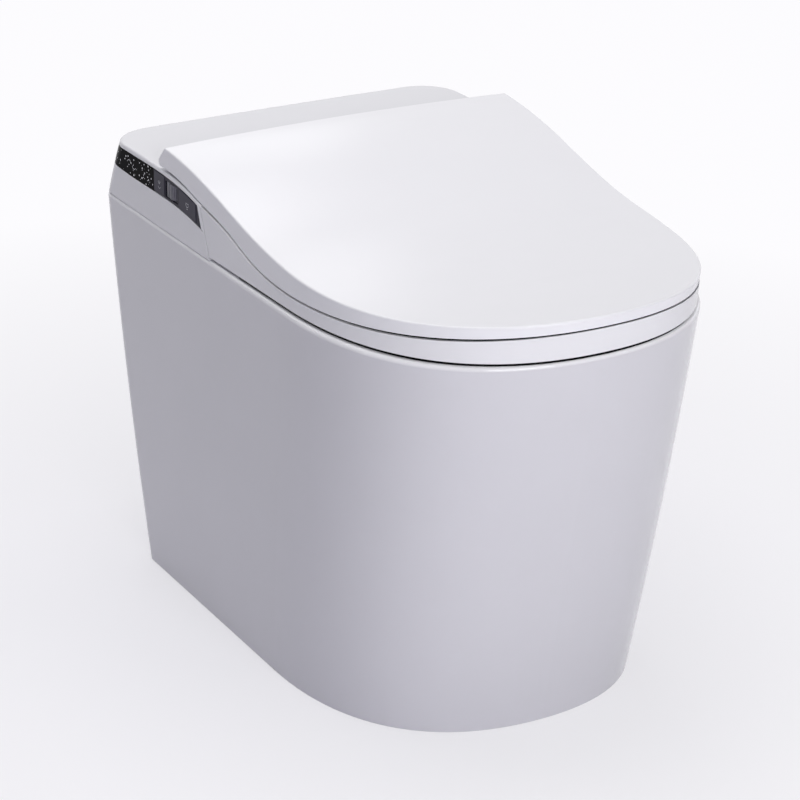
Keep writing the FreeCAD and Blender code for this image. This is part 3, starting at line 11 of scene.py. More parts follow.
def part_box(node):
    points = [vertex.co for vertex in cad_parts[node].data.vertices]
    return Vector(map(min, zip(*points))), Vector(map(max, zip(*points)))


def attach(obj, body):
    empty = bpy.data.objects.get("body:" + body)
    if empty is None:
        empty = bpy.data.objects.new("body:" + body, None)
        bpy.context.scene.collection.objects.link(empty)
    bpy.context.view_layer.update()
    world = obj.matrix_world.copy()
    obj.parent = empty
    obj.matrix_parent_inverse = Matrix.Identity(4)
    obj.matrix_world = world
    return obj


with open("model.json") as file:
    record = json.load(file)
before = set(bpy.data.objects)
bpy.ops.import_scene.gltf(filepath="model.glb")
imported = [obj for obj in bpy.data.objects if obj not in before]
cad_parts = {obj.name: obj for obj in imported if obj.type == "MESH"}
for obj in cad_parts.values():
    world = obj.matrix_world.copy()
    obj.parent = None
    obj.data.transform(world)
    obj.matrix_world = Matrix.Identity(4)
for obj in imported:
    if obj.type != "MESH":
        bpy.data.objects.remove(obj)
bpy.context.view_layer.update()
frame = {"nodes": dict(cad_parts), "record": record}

cadNodes = frame["nodes"]
scene = bpy.context.scene
print("stage: frame loaded,", len(cadNodes), "nodes")


# camera, as the photograph was taken
camera = {
    "place": (-1.34217, -2.36777, 1.38042),
    "aim": (0.44866, 0.80753, -0.38289),
    "lens": 130.93,
    "sensor": 36.0,
    "nearest": 0.05,    # clipping distances
    "farthest": 60.0,
}


def makeCamera():
    data = bpy.data.cameras.new("photoCamera")
    data.lens = camera["lens"]
    data.sensor_width = camera["sensor"]
    data.clip_start = camera["nearest"]
    data.clip_end = camera["farthest"]
    rig = bpy.data.objects.new("photoCamera", data)
    rig.location = camera["place"]
    rig.rotation_mode = "QUATERNION"
    rig.rotation_quaternion = Vector(camera["aim"]).to_track_quat("-Z", "Y")
    scene.collection.objects.link(rig)
    scene.camera = rig


# shader helpers
def newNode(tree, kind, **settings):
    node = tree.nodes.new(kind)
    for key, value in settings.items():
        setattr(node, key, value)
    return node


def startMaterial(name):
    material = bpy.data.materials.new(name)
    material.use_nodes = True
    tree = material.node_tree
    shader = tree.nodes["Principled BSDF"]
    coords = newNode(tree, "ShaderNodeTexCoord")
    return material, tree, shader, coords.outputs["Object"]


def noise(tree, coords, scale, detail, stretch=None):
    # scale is in patches per metre
    vector = coords
    if stretch:
        mapping = newNode(tree, "ShaderNodeMapping")
        mapping.inputs["Scale"].default_value = stretch
        tree.links.new(coords, mapping.inputs["Vector"])
        vector = mapping.outputs["Vector"]
    texture = newNode(tree, "ShaderNodeTexNoise")
    texture.inputs["Scale"].default_value = scale
    texture.inputs["Detail"].default_value = detail
    tree.links.new(vector, texture.inputs["Vector"])
    return texture.outputs["Fac"]


def spread(tree, value, low, high, fromLow=0.3, fromHigh=0.7):
    # most of a noise lies between 0.3 and 0.7
    remap = newNode(tree, "ShaderNodeMapRange")
    remap.inputs["From Min"].default_value = fromLow
    remap.inputs["From Max"].default_value = fromHigh
    remap.inputs["To Min"].default_value = low
    remap.inputs["To Max"].default_value = high
    tree.links.new(value, remap.inputs["Value"])
    return remap.outputs["Result"]


def twoTone(tree, value, first, second):
    mix = newNode(tree, "ShaderNodeMix", data_type="RGBA")
    tree.links.new(value, mix.inputs["Factor"])
    mix.inputs["A"].default_value = (*first, 1.0)
    mix.inputs["B"].default_value = (*second, 1.0)
    return mix.outputs["Result"]


def relief(tree, value, shader, strength, distance):
    bump = newNode(tree, "ShaderNodeBump")
    bump.inputs["Strength"].default_value = strength
    bump.inputs["Distance"].default_value = distance
    tree.links.new(value, bump.inputs["Height"])
    tree.links.new(bump.outputs["Normal"], shader.inputs["Normal"])


# Every plain finish: two close tones, its patches and its grain in patches per
# metre, its roughness from low to high, and the depth of its grain in metres.
# The coat is its weight and its roughness, the rim highlight a lighter tone above a height, a
# painted highlight on the rim's rounded edge.
finishes = {
    "ceramic": dict(tones=((0.655, 0.648, 0.692), (0.667, 0.660, 0.703)), patch=9.0,
                    grain=260.0, gloss=(0.075, 0.115), depth=0.00002, specular=0.38,
                    coat=(0.2, 0.03),
                    # a painted highlight: the rim's rounded edge gets a lighter tone
                    band=dict(foot=0.4082, top=0.4112, tone=(0.90, 0.895, 0.92))),
    "cover_plastic": dict(tones=((0.758, 0.755, 0.788), (0.766, 0.763, 0.796)), patch=14.0,
                          grain=900.0, gloss=(0.245, 0.255), depth=0.000012, specular=0.4),
    "seat_plastic": dict(tones=((0.803, 0.799, 0.830), (0.811, 0.807, 0.838)), patch=12.0,
                         grain=900.0, gloss=(0.195, 0.205), depth=0.00001, specular=0.38),
    "lid_plastic": dict(tones=((0.856, 0.853, 0.886), (0.864, 0.861, 0.893)), patch=10.0,
                        grain=900.0, gloss=(0.225, 0.235), depth=0.00001, specular=0.36),
    "trim_plastic": dict(tones=((0.72, 0.72, 0.76), (0.80, 0.80, 0.84)), patch=60.0,
                         grain=1500.0, gloss=(0.12, 0.18), depth=0.00001),
    "button_plastic": dict(tones=((0.036, 0.033, 0.052), (0.046, 0.043, 0.064)), patch=80.0,
                           grain=5200.0, gloss=(0.34, 0.42), depth=0.00002, specular=0.08),
    "bezel_plastic": dict(tones=((0.024, 0.022, 0.034), (0.031, 0.029, 0.043)), patch=80.0,
                          grain=5200.0, gloss=(0.34, 0.42), depth=0.00002, specular=0.06),
    "wheel_plastic": dict(tones=((0.125, 0.120, 0.150), (0.160, 0.155, 0.190)), patch=120.0,
                          grain=4200.0, gloss=(0.22, 0.30), depth=0.00002, specular=0.35),
    "inner_plastic": dict(tones=((0.60, 0.61, 0.62), (0.66, 0.67, 0.68)), patch=20.0,
                          grain=2600.0, gloss=(0.42, 0.55), depth=0.00004),
    "block_plastic": dict(tones=((0.76, 0.76, 0.775), (0.785, 0.785, 0.80)), patch=25.0,
                          grain=1800.0, gloss=(0.22, 0.30), depth=0.00002),
    "dark_plastic": dict(tones=((0.030, 0.030, 0.034), (0.045, 0.045, 0.050)), patch=30.0,
                         grain=3000.0, gloss=(0.45, 0.60), depth=0.00004),
    "heater_plastic": dict(tones=((0.56, 0.52, 0.42), (0.62, 0.58, 0.48)), patch=24.0,
                           grain=2400.0, gloss=(0.45, 0.58), depth=0.00004),
    "gear_plastic": dict(tones=((0.70, 0.69, 0.65), (0.76, 0.75, 0.71)), patch=90.0,
                         grain=3800.0, gloss=(0.38, 0.48), depth=0.00002),
    "nozzle_plastic": dict(tones=((0.78, 0.78, 0.79), (0.81, 0.81, 0.82)), patch=60.0,
                           grain=2600.0, gloss=(0.20, 0.28), depth=0.00001),
    "sensor_plastic": dict(tones=((0.05, 0.05, 0.055), (0.08, 0.08, 0.085)), patch=90.0,
                           grain=3000.0, gloss=(0.45, 0.60), depth=0.00003),
    "rubber": dict(tones=((0.060, 0.060, 0.064), (0.085, 0.085, 0.090)), patch=60.0,
                   grain=4200.0, gloss=(0.62, 0.80), depth=0.00006),
    # near-black for the painted shade in the seat and lid gaps
    "gap_shade_black": dict(tones=((0.0030, 0.0030, 0.0036), (0.0060, 0.0060, 0.0070)), patch=90.0,
                        grain=4200.0, gloss=(0.62, 0.80), depth=0.00004, specular=0.05),
}
finishDetail = {
    "patches": 4.0,
    "grain": 2.0,
    "specular": 0.5,    # where a finish names none
}


def paintedRimHighlight(tree, coords, colour, band):
    # painted highlight: lighter above a height, on the rim's rounded edge, where a lamp's
    # highlight would fall
    split = newNode(tree, "ShaderNodeSeparateXYZ")
    tree.links.new(coords, split.inputs["Vector"])
    mix = newNode(tree, "ShaderNodeMix", data_type="RGBA")
    share = spread(tree, split.outputs["Z"], 0.0, 1.0, band["foot"], band["top"])
    tree.links.new(share, mix.inputs["Factor"])
    tree.links.new(colour, mix.inputs["A"])
    mix.inputs["B"].default_value = (*band["tone"], 1.0)
    return mix.outputs["Result"]


def plainFinish(name, spec):
    material, tree, shader, coords = startMaterial(name)
    patches = noise(tree, coords, spec["patch"], finishDetail["patches"])
    grain = noise(tree, coords, spec["grain"], finishDetail["grain"])
    colour = twoTone(tree, spread(tree, patches, 0.0, 1.0), *spec["tones"])
    # a painted highlight along the rim, where a finish names one
    if "band" in spec:
        colour = paintedRimHighlight(tree, coords, colour, spec["band"])
    tree.links.new(colour, shader.inputs["Base Color"])
    low, high = spec["gloss"]
    tree.links.new(spread(tree, patches, low, high), shader.inputs["Roughness"])
    relief(tree, grain, shader, 1.0, spec["depth"])
    specular = spec.get("specular", finishDetail["specular"])
    shader.inputs["Specular IOR Level"].default_value = specular
    if "coat" in spec:
        weight, roughness = spec["coat"]
        shader.inputs["Coat Weight"].default_value = weight
        shader.inputs["Coat Roughness"].default_value = roughness
    return material


# Every metal: two tones, its roughness from low to high, and its brush strokes
# per metre along x, y and z.
metals = {
    "nozzle_steel": dict(tones=((0.52, 0.52, 0.53), (0.66, 0.66, 0.67)), gloss=(0.18, 0.32),
                         stretch=(1500.0, 60.0, 60.0)),
    "motor_steel": dict(tones=((0.46, 0.46, 0.47), (0.56, 0.56, 0.57)), gloss=(0.30, 0.45),
                        stretch=(900.0, 900.0, 60.0)),
    "frame_steel": dict(tones=((0.36, 0.37, 0.38), (0.48, 0.49, 0.50)), gloss=(0.32, 0.50),
                        stretch=(60.0, 800.0, 800.0)),
    "screw_steel": dict(tones=((0.48, 0.48, 0.49), (0.62, 0.62, 0.63)), gloss=(0.20, 0.36),
                        stretch=(900.0, 900.0, 900.0)),
    "brass": dict(tones=((0.58, 0.42, 0.17), (0.68, 0.51, 0.24)), gloss=(0.18, 0.34),
                  stretch=(60.0, 1500.0, 60.0)),
    "heating_foil": dict(tones=((0.62, 0.63, 0.64), (0.72, 0.73, 0.74)), gloss=(0.22, 0.40),
                         stretch=(240.0, 240.0, 240.0)),
    "supply_case": dict(tones=((0.50, 0.51, 0.53), (0.60, 0.61, 0.63)), gloss=(0.34, 0.50),
                        stretch=(60.0, 1200.0, 60.0)),
}
metalWear = {
    "stainSize": 30.0,
    "stainDetail": 4.0,
    "strokeDetail": 2.0,
    "bump": 0.5,
    "depth": 0.00002,
}


def metalFinish(name, spec):
    material, tree, shader, coords = startMaterial(name)
    strokes = noise(tree, coords, 1.0, metalWear["strokeDetail"], spec["stretch"])
    stains = noise(tree, coords, metalWear["stainSize"], metalWear["stainDetail"])
    tree.links.new(twoTone(tree, spread(tree, stains, 0.0, 1.0), *spec["tones"]),
                   shader.inputs["Base Color"])
    low, high = spec["gloss"]
    tree.links.new(spread(tree, strokes, low, high), shader.inputs["Roughness"])
    shader.inputs["Metallic"].default_value = 1.0
    relief(tree, strokes, shader, metalWear["bump"], metalWear["depth"])
    return material


displayGlass = {
    "tone": (0.0012, 0.0012, 0.0020),
    "haze": (0.0026, 0.0025, 0.0040),
    "gloss": (0.05, 0.09),
    "specular": 0.008,
    "smearSize": 70.0,
    "smearDetail": 5.0,
    "bump": 0.2,
    "depth": 0.00001,
}


def glassFinish(name):
    material, tree, shader, coords = startMaterial(name)
    smears = noise(tree, coords, displayGlass["smearSize"], displayGlass["smearDetail"])
    tree.links.new(twoTone(tree, spread(tree, smears, 0.0, 1.0), displayGlass["tone"],
                           displayGlass["haze"]), shader.inputs["Base Color"])
    low, high = displayGlass["gloss"]
    tree.links.new(spread(tree, smears, low, high), shader.inputs["Roughness"])
    relief(tree, smears, shader, displayGlass["bump"], displayGlass["depth"])
    shader.inputs["Specular IOR Level"].default_value = displayGlass["specular"]
    return material


boardLaminate = {
    "base": (0.012, 0.075, 0.028),
    "track": (0.050, 0.200, 0.075),
    "trackSize": 420.0,
    "trackEdge": (0.42, 0.5),    # where in a cell the track starts and is full
    "gloss": (0.32, 0.5),
    "bump": 0.4,
    "depth": 0.00004,
}


def boardFinish(name):
    material, tree, shader, coords = startMaterial(name)
    cells = newNode(tree, "ShaderNodeTexVoronoi", distance="CHEBYCHEV", feature="F1")
    cells.inputs["Scale"].default_value = boardLaminate["trackSize"]
    tree.links.new(coords, cells.inputs["Vector"])
    tracks = spread(tree, cells.outputs["Distance"], 0.0, 1.0, *boardLaminate["trackEdge"])
    tree.links.new(twoTone(tree, tracks, boardLaminate["base"], boardLaminate["track"]),
                   shader.inputs["Base Color"])
    low, high = boardLaminate["gloss"]
    tree.links.new(spread(tree, tracks, low, high, 0.0, 1.0), shader.inputs["Roughness"])
    relief(tree, tracks, shader, boardLaminate["bump"], boardLaminate["depth"])
    return material


carbonBlock = {
    "dark": (0.010, 0.010, 0.011),
    "light": (0.045, 0.045, 0.048),
    "grainSize": 900.0,
    "grainReach": 0.8,
    "roughness": 0.85,
    "bump": 0.8,
    "depth": 0.0003,
}


def carbonFinish(name):
    material, tree, shader, coords = startMaterial(name)
    grains = newNode(tree, "ShaderNodeTexVoronoi")
    grains.inputs["Scale"].default_value = carbonBlock["grainSize"]
    tree.links.new(coords, grains.inputs["Vector"])
    distance = grains.outputs["Distance"]
    share = spread(tree, distance, 0.0, 1.0, 0.0, carbonBlock["grainReach"])
    tree.links.new(twoTone(tree, share, carbonBlock["light"], carbonBlock["dark"]),
                   shader.inputs["Base Color"])
    shader.inputs["Roughness"].default_value = carbonBlock["roughness"]
    relief(tree, distance, shader, carbonBlock["bump"], carbonBlock["depth"])
    return material


def makeMaterials():
    made = {}
    for name, spec in finishes.items():
        made[name] = plainFinish(name, spec)
    for name, spec in metals.items():
        made[name] = metalFinish(name, spec)
    made["black_glass"] = glassFinish("black_glass")
    made["board"] = boardFinish("board")
    made["carbon"] = carbonFinish("carbon")
    return made


def dressNodes():
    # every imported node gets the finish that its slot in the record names
    slotOf = {row["node"]: row["material_slot"] for row in frame["record"]["subparts"]}
    for name, node in cadNodes.items():
        node.data.materials.clear()
        node.data.materials.append(materials[slotOf[name]])


makeCamera()
materials = makeMaterials()
dressNodes()
print("stage: finishes on", len(cadNodes), "nodes")


# helpers for the added pieces
def surfaceOf(nodeName):
    mesh = cadNodes[nodeName].data
    points = [vertex.co.copy() for vertex in mesh.vertices]
    return BVHTree.FromPolygons(points, [tuple(face.vertices) for face in mesh.polygons])


def addPiece(name, mesh, body, material=None):
    # a mesh that a tree made brings its own material
    piece = bpy.data.objects.new(name, mesh)
    scene.collection.objects.link(piece)
    if material:
        mesh.materials.clear()
        mesh.materials.append(material)
    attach(piece, body)
    return piece


def skinRings(shell, rings):
    # a closed tube with four sides through rings of four points
    for one, two in zip(rings[:-1], rings[1:]):
        for k in range(4):
            j = (k + 1) % 4
            shell.faces.new((one[k], one[j], two[j], two[k]))
    shell.faces.new(rings[0])
    shell.faces.new(rings[-1][::-1])


def printFinish(name, ink):
    # ink with a fine speckle between its tone and a dimmer one
    material, tree, shader, coords = startMaterial(name)
    speckle = noise(tree, coords, ink["speckle"], finishDetail["grain"])
    dimmer = tuple(ink["dim"] * part for part in ink["tone"])
    tree.links.new(twoTone(tree, spread(tree, speckle, 0.0, 1.0), dimmer, ink["tone"]),
                   shader.inputs["Base Color"])
    low, high = ink["gloss"]
    tree.links.new(spread(tree, speckle, low, high), shader.inputs["Roughness"])
    return material


def meshFrom(name, build):
    mesh = bpy.data.meshes.new(name)
    shell = bmesh.new()
    build(shell)
    bmesh.ops.recalc_face_normals(shell, faces=shell.faces)
    shell.to_mesh(mesh)
    shell.free()
    return mesh


# light dots printed on the display strip
displayDots = {
    "count": 54,
    "seed": 11,
    "tries": 4000,
    "smallest": 0.00025,    # radius
    "largest": 0.00105,
    "sides": 12,
    "thickness": 0.12,    # as a share of the radius
    "lift": 0.00004,
    "spacing": 0.0021,
    "frontEdge": 0.003,    # kept clear at the strip's ends and along it
    "rearEdge": 0.001,
    "longEdge": 0.002,
    "clear": (0.0014, 0.0018),    # the strip reaches this far round a dot, along and up
    "leastTurn": -0.25,    # x of the surface's normal, which faces the left
    "sideFrom": -0.15,    # the strip lies left of this x
    "ink": dict(tone=(0.94, 0.94, 0.97), dim=0.8, speckle=2600.0, gloss=(0.25, 0.4)),
}


leftOfAll = -0.3    # rays that look for the left side start here


def sidePoint(surface, y, z):
    # the point of a surface that shows from the left at one depth and height
    hit, normal, _, _ = surface.ray_cast(Vector((leftOfAll, y, z)), Vector((1.0, 0.0, 0.0)))
    return hit, normal


def onStrip(surface, y, z):
    hit, _ = sidePoint(surface, y, z)
    return hit is not None and hit.x < displayDots["sideFrom"]


def dotPlaces():
    surface = surfaceOf("side_glass_strip")
    low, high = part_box("side_glass_strip")
    dice = random.Random(displayDots["seed"])
    along, up = displayDots["clear"]
    longEdge = displayDots["longEdge"]
    places = []
    tries = 0
    while len(places) < displayDots["count"] and tries < displayDots["tries"]:
        tries += 1
        y = dice.uniform(low.y + displayDots["frontEdge"], high.y - displayDots["rearEdge"])
        z = dice.uniform(low.z + longEdge, high.z - longEdge)
        hit, normal = sidePoint(surface, y, z)
        if hit is None or normal.x > displayDots["leastTurn"]:
            continue
        inside = all(onStrip(surface, y + dy, z + dz) for dy in (-along, along)
                     for dz in (-up, up))
        crowded = any((hit - other).length < displayDots["spacing"] for other, _ in places)
        if inside and not crowded:
            places.append((hit, normal))
    return places


def dotTree():
    # a flat disc of random size on every point, turned to the point's facing
    tree = bpy.data.node_groups.new("scatterDots", "GeometryNodeTree")
    face = tree.interface
    face.new_socket("Geometry", in_out="INPUT", socket_type="NodeSocketGeometry")
    for label, value in (("Smallest", displayDots["smallest"]),
                         ("Largest", displayDots["largest"])):
        socket = face.new_socket(label, in_out="INPUT", socket_type="NodeSocketFloat")
        socket.default_value = value
    seed = face.new_socket("Seed", in_out="INPUT", socket_type="NodeSocketInt")
    seed.default_value = displayDots["seed"]
    face.new_socket("Finish", in_out="INPUT", socket_type="NodeSocketMaterial")
    face.new_socket("Geometry", in_out="OUTPUT", socket_type="NodeSocketGeometry")
    nodes, links = tree.nodes, tree.links
    start = nodes.new("NodeGroupInput")
    end = nodes.new("NodeGroupOutput")
    toPoints = nodes.new("GeometryNodeMeshToPoints")
    links.new(start.outputs["Geometry"], toPoints.inputs["Mesh"])
    disc = nodes.new("GeometryNodeMeshCylinder")
    disc.inputs["Vertices"].default_value = displayDots["sides"]
    disc.inputs["Radius"].default_value = 1.0
    disc.inputs["Depth"].default_value = displayDots["thickness"]
    size = newNode(tree, "FunctionNodeRandomValue", data_type="FLOAT")
    links.new(start.outputs["Smallest"], size.inputs[2])
    links.new(start.outputs["Largest"], size.inputs[3])
    links.new(start.outputs["Seed"], size.inputs["Seed"])
    normal = newNode(tree, "GeometryNodeInputNamedAttribute", data_type="FLOAT_VECTOR")
    normal.inputs["Name"].default_value = "facing"
    turn = newNode(tree, "FunctionNodeAlignRotationToVector", axis="Z")
    links.new(normal.outputs["Attribute"], turn.inputs["Vector"])
    place = nodes.new("GeometryNodeInstanceOnPoints")
    links.new(toPoints.outputs["Points"], place.inputs["Points"])
    links.new(disc.outputs["Mesh"], place.inputs["Instance"])
    links.new(turn.outputs["Rotation"], place.inputs["Rotation"])
    links.new(size.outputs[1], place.inputs["Scale"])
    real = nodes.new("GeometryNodeRealizeInstances")
    links.new(place.outputs["Instances"], real.inputs["Geometry"])
    paint = nodes.new("GeometryNodeSetMaterial")
    links.new(real.outputs["Geometry"], paint.inputs["Geometry"])
    links.new(start.outputs["Finish"], paint.inputs["Material"])
    links.new(paint.outputs["Geometry"], end.inputs["Geometry"])
    return tree


def runTree(name, mesh, tree, values):
    # runs a tree on a mesh and hands back the plain mesh it makes
    holder = bpy.data.objects.new(name + "Source", mesh)
    scene.collection.objects.link(holder)
    modifier = holder.modifiers.new("build", "NODES")
    modifier.node_group = tree
    for item in tree.interface.items_tree:
        if item.in_out == "INPUT" and item.name in values:
            modifier[item.identifier] = values[item.name]
    graph = bpy.context.evaluated_depsgraph_get()
    result = bpy.data.meshes.new_from_object(holder.evaluated_get(graph))
    result.name = name
    holder.modifiers.clear()
    bpy.data.objects.remove(holder)
    return result


def makeDisplayDots():
    places = dotPlaces()
    mesh = bpy.data.meshes.new("dotPlaces")
    mesh.from_pydata([hit + normal * displayDots["lift"] for hit, normal in places], [], [])
    facing = mesh.attributes.new("facing", "FLOAT_VECTOR", "POINT")
    for i, (_, normal) in enumerate(places):
        facing.data[i].vector = normal
    values = {"Smallest": displayDots["smallest"], "Largest": displayDots["largest"],
              "Seed": displayDots["seed"],
              "Finish": printFinish("displayPrint", displayDots["ink"])}
    dots = runTree("displayDots", mesh, dotTree(), values)
    addPiece("display_dots", dots, "root")
    return len(places)


print("stage: display dots,", makeDisplayDots())


# printed lines: an icon on each side button, and two arcs on the display strip
printedLines = {
    "thick": 0.00010,    # how far a line stands out of its surface and reaches into it
    "sink": 0.00004,
    "cuts": 3,    # pieces that each straight run is cut into, to follow the surface
    "stroke": 0.00055,    # width of the icons' lines
    "size": 0.0082,
    "arcStroke": 0.00050,
    "arcSize": 0.0100,
    "iconInk": dict(tone=(0.46, 0.46, 0.50), dim=0.8, speckle=2400.0, gloss=(0.35, 0.5)),
    "arcInk": dict(tone=(0.94, 0.94, 0.97), dim=0.8, speckle=2400.0, gloss=(0.35, 0.5)),
}

# strokes as shares of the print's size; an arc is its centre, radius, first and
# last angle and count of runs
sprayIcon = {
    "dish": ((0.0, -0.30), 0.34, 200.0, 340.0, 10),
    "root": (0.0, -0.25),
    "jets": (62.0, 90.0, 118.0),
    "jetFrom": 0.16,
    "jetTo": 0.62,
}
bowlIcon = {
    "seat": ((-0.42, 0.22), (0.42, 0.22)),
    "bowl": ((0.0, 0.12), 0.36, 180.0, 360.0, 12),
    "foot": ((-0.20, -0.46), (0.20, -0.46)),
}
displayArcs = (
    ((-0.62, -0.10), 0.52, 20.0, 150.0, 12),
    ((0.52, 0.18), 0.46, 205.0, 330.0, 12),
)


def strokeLine(points, width):
    # both sides of a line of points, in the print's own plane
    left, right = [], []
    for i, point in enumerate(points):
        before = points[max(i - 1, 0)]
        after = points[min(i + 1, len(points) - 1)]
        along = (after - before).normalized()
        aside = Vector((-along.y, along.x)) * width / 2.0
        left.append(point + aside)
        right.append(point - aside)
    return left, right


def arcPoints(centre, radius, start, end, count):
    points = []
    for i in range(count + 1):
        angle = math.radians(start + (end - start) * i / count)
        points.append(Vector((centre[0] + radius * math.cos(angle),
                              centre[1] + radius * math.sin(angle))))
    return points


def sprayStrokes():
    strokes = [arcPoints(*sprayIcon["dish"])]
    root = Vector(sprayIcon["root"])
    for angle in sprayIcon["jets"]:
        way = Vector((math.cos(math.radians(angle)), math.sin(math.radians(angle))))
        strokes.append([way * sprayIcon["jetFrom"] + root, way * sprayIcon["jetTo"] + root])
    return strokes


def bowlStrokes():
    seat = [Vector(point) for point in bowlIcon["seat"]]
    foot = [Vector(point) for point in bowlIcon["foot"]]
    return [seat, arcPoints(*bowlIcon["bowl"]), foot]


def lineMesh(name, nodeName, strokes, size, stroke):
    # thin ribbons laid on a node's left side, centred on its box
    surface = surfaceOf(nodeName)
    low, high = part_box(nodeName)
    middle = (low + high) / 2.0
    thick, sink, cuts = (printedLines[key] for key in ("thick", "sink", "cuts"))

    def lifted(point, rise):
        # left of the print lies towards the rear, as the side is seen from outside
        y = middle.y - point.x * size
        z = middle.z + point.y * size
        hit, normal = sidePoint(surface, y, z)
        return hit + normal * rise

    def build(shell):
        for points in strokes:
            fine = []
            for a, b in zip(points[:-1], points[1:]):
                fine.extend([a.lerp(b, step / cuts) for step in range(cuts)])
            fine.append(points[-1])
            left, right = strokeLine(fine, stroke / size)
            rings = []
            for a, b in zip(left, right):
                rings.append([shell.verts.new(lifted(a, thick)),
                              shell.verts.new(lifted(b, thick)),
                              shell.verts.new(lifted(b, -sink)),
                              shell.verts.new(lifted(a, -sink))])
            skinRings(shell, rings)

    return meshFrom(name, build)


def makePrints():
    iconInk = printFinish("iconPrint", printedLines["iconInk"])
    arcInk = printFinish("arcPrint", printedLines["arcInk"])
    size, stroke = printedLines["size"], printedLines["stroke"]
    for name, button, strokes in (("wash_icon", "wash_button", sprayStrokes()),
                                  ("flush_icon", "flush_button", bowlStrokes())):
        icon = lineMesh(name, button, strokes, size, stroke)
        addPiece(name, icon, button, iconInk)
    strokes = [arcPoints(*arc) for arc in displayArcs]
    arcs = lineMesh("display_arcs", "side_glass_strip", strokes, printedLines["arcSize"],
                    printedLines["arcStroke"])
    addPiece("display_arcs", arcs, "root", arcInk)


makePrints()
print("stage: button icons and display arcs")


# painted shade: near-black strips in the two gaps, between rim and seat and between seat and
# lid, where there is only shadow
gapShadeStrips = {
    # above: whose edge it follows and hangs from; below: what it nearly meets;
    # turn: degrees from the front to its ends; setBack: how far behind the edge it stands
    "seat_gap_shade": dict(above=("seat_bottom_shell", "seat_top_shell"), below=("ceramic_body",),
                      body="seat", turn=112.0, setBack=0.0027),
    "lid_gap_shade": dict(above=("lid_shell",), below=("seat_top_shell", "rear_cover"),
                     body="lid", turn=133.0, setBack=0.0024),
}
gapShadeSizes = {
    "width": 0.0016,
    "play": 0.00025,    # kept free over what lies below
    "sink": 0.0002,    # reach into what it hangs from
    "widestGap": 0.0075,
}
gapShadeSearch = {
    "centre": (0.0, -0.060),    # rays go through the gap towards this place
    "outside": 0.7,    # and start this far from it
    "nearest": 0.15,    # a hit nearer to it is an inner wall
    "steps": 75,    # places on each side
    "misses": 2,    # places in a row that may fail before the seal ends
    "lift": 0.0012,    # rise from one try to the next, until a ray meets the edge
    "tries": 80,
    "across": (0.0, 0.5, 1.0),    # shares of the width where heights are read
    "below": 0.012,
    "start": 0.0001,
}


def firstHit(surfaces, start, way):
    # the nearest of what a ray meets on several surfaces
    best = None
    for surface in surfaces:
        hit, _, _, distance = surface.ray_cast(start, way)
        if hit is not None and (best is None or distance < best[1]):
            best = (hit, distance)
    return best[0] if best else None


def lowEdge(upper, centre, way):
    # the lowest point of the outer wall that a level ray from outside meets
    for step in range(gapShadeSearch["tries"]):
        start = centre + way * gapShadeSearch["outside"]
        start.z += step * gapShadeSearch["lift"]
        edge = firstHit(upper, start, -way)
        if edge is not None and (edge - centre).dot(way) > gapShadeSearch["nearest"]:
            return edge
    return None


def gapShadeStation(upper, lower, centre, way, setBack):
    # one place along the gap: the seal's outer face, and the heights above and below it
    edge = lowEdge(upper, centre, way)
    if edge is None:
        return None
    face = edge - way * setBack
    up = Vector((0.0, 0.0, 1.0))
    places = [face - way * gapShadeSizes["width"] * share for share in gapShadeSearch["across"]]
    hits = [firstHit(upper, place - up * gapShadeSearch["below"], up) for place in places]
    undersides = [hit.z for hit in hits if hit]
    if not undersides:
        return None
    under = min(undersides)
    starts = [Vector((place.x, place.y, under - gapShadeSearch["start"])) for place in places]
    hits = [firstHit(lower, start, -up) for start in starts]
    tops = [hit.z for hit in hits if hit]
    if not tops or under - max(tops) > gapShadeSizes["widestGap"]:
        return None
    return face, under, max(tops)


def gapShadeMesh(name, spec):
    upper = [surfaceOf(node) for node in spec["above"]]
    lower = [surfaceOf(node) for node in spec["below"]]
    centre = Vector((*gapShadeSearch["centre"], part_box("ceramic_body")[1].z))
    front = -90.0
    steps = gapShadeSearch["steps"]
    # from the front out to both sides, as far as the gap is unbroken
    stations = []
    for side in (-1, 1):
        missed = 0
        for i in range(steps):
            share = (i + 0.5) / steps
            angle = math.radians(front + side * spec["turn"] * share)
            way = Vector((math.cos(angle), math.sin(angle), 0.0))
            found = gapShadeStation(upper, lower, centre, way, spec["setBack"])
            missed = 0 if found else missed + 1
            if missed > gapShadeSearch["misses"]:
                break
            if found:
                stations.append((found, way))
        stations.reverse()
    print("stage:", name, "follows", len(stations), "places")

    def build(shell):
        rings = []
        for (near, under, top), way in stations:
            low, high = top + gapShadeSizes["play"], under + gapShadeSizes["sink"]
            far = near - way * gapShadeSizes["width"]
            rings.append([shell.verts.new((near.x, near.y, low)),
                          shell.verts.new((near.x, near.y, high)),
                          shell.verts.new((far.x, far.y, high)),
                          shell.verts.new((far.x, far.y, low))])
        skinRings(shell, rings)

    return meshFrom(name, build)


# the strips are painted shade, dark pieces put where the gaps hold only shadow
def makeGapShades():
    for name, spec in gapShadeStrips.items():
        addPiece(name, gapShadeMesh(name, spec), spec["body"], materials["gap_shade_black"])


makeGapShades()
print("stage: seals in the gaps")


# floor, lamps and world
stageFloor = {
    "reach": 9.0,
    "level": -0.0006,
    "tone": (0.80, 0.795, 0.85),
    "cloudTone": 1.01,    # the lighter clouds, as a share of the tone
    "cloudSize": 1.5,
    "cloudDetail": 2.0,
    "roughness": 0.8,
    "specular": 0.1,
    "paper": (0.985, 0.978, 1.0),
    "shift": (0.08, -0.16, 0.0),    # moves the shaded middle
    "near": 0.20,    # distances between which the paper's share grows
    "far": 1.25,
    "shareNear": 0.55,
    "shareFar": 0.985,
}


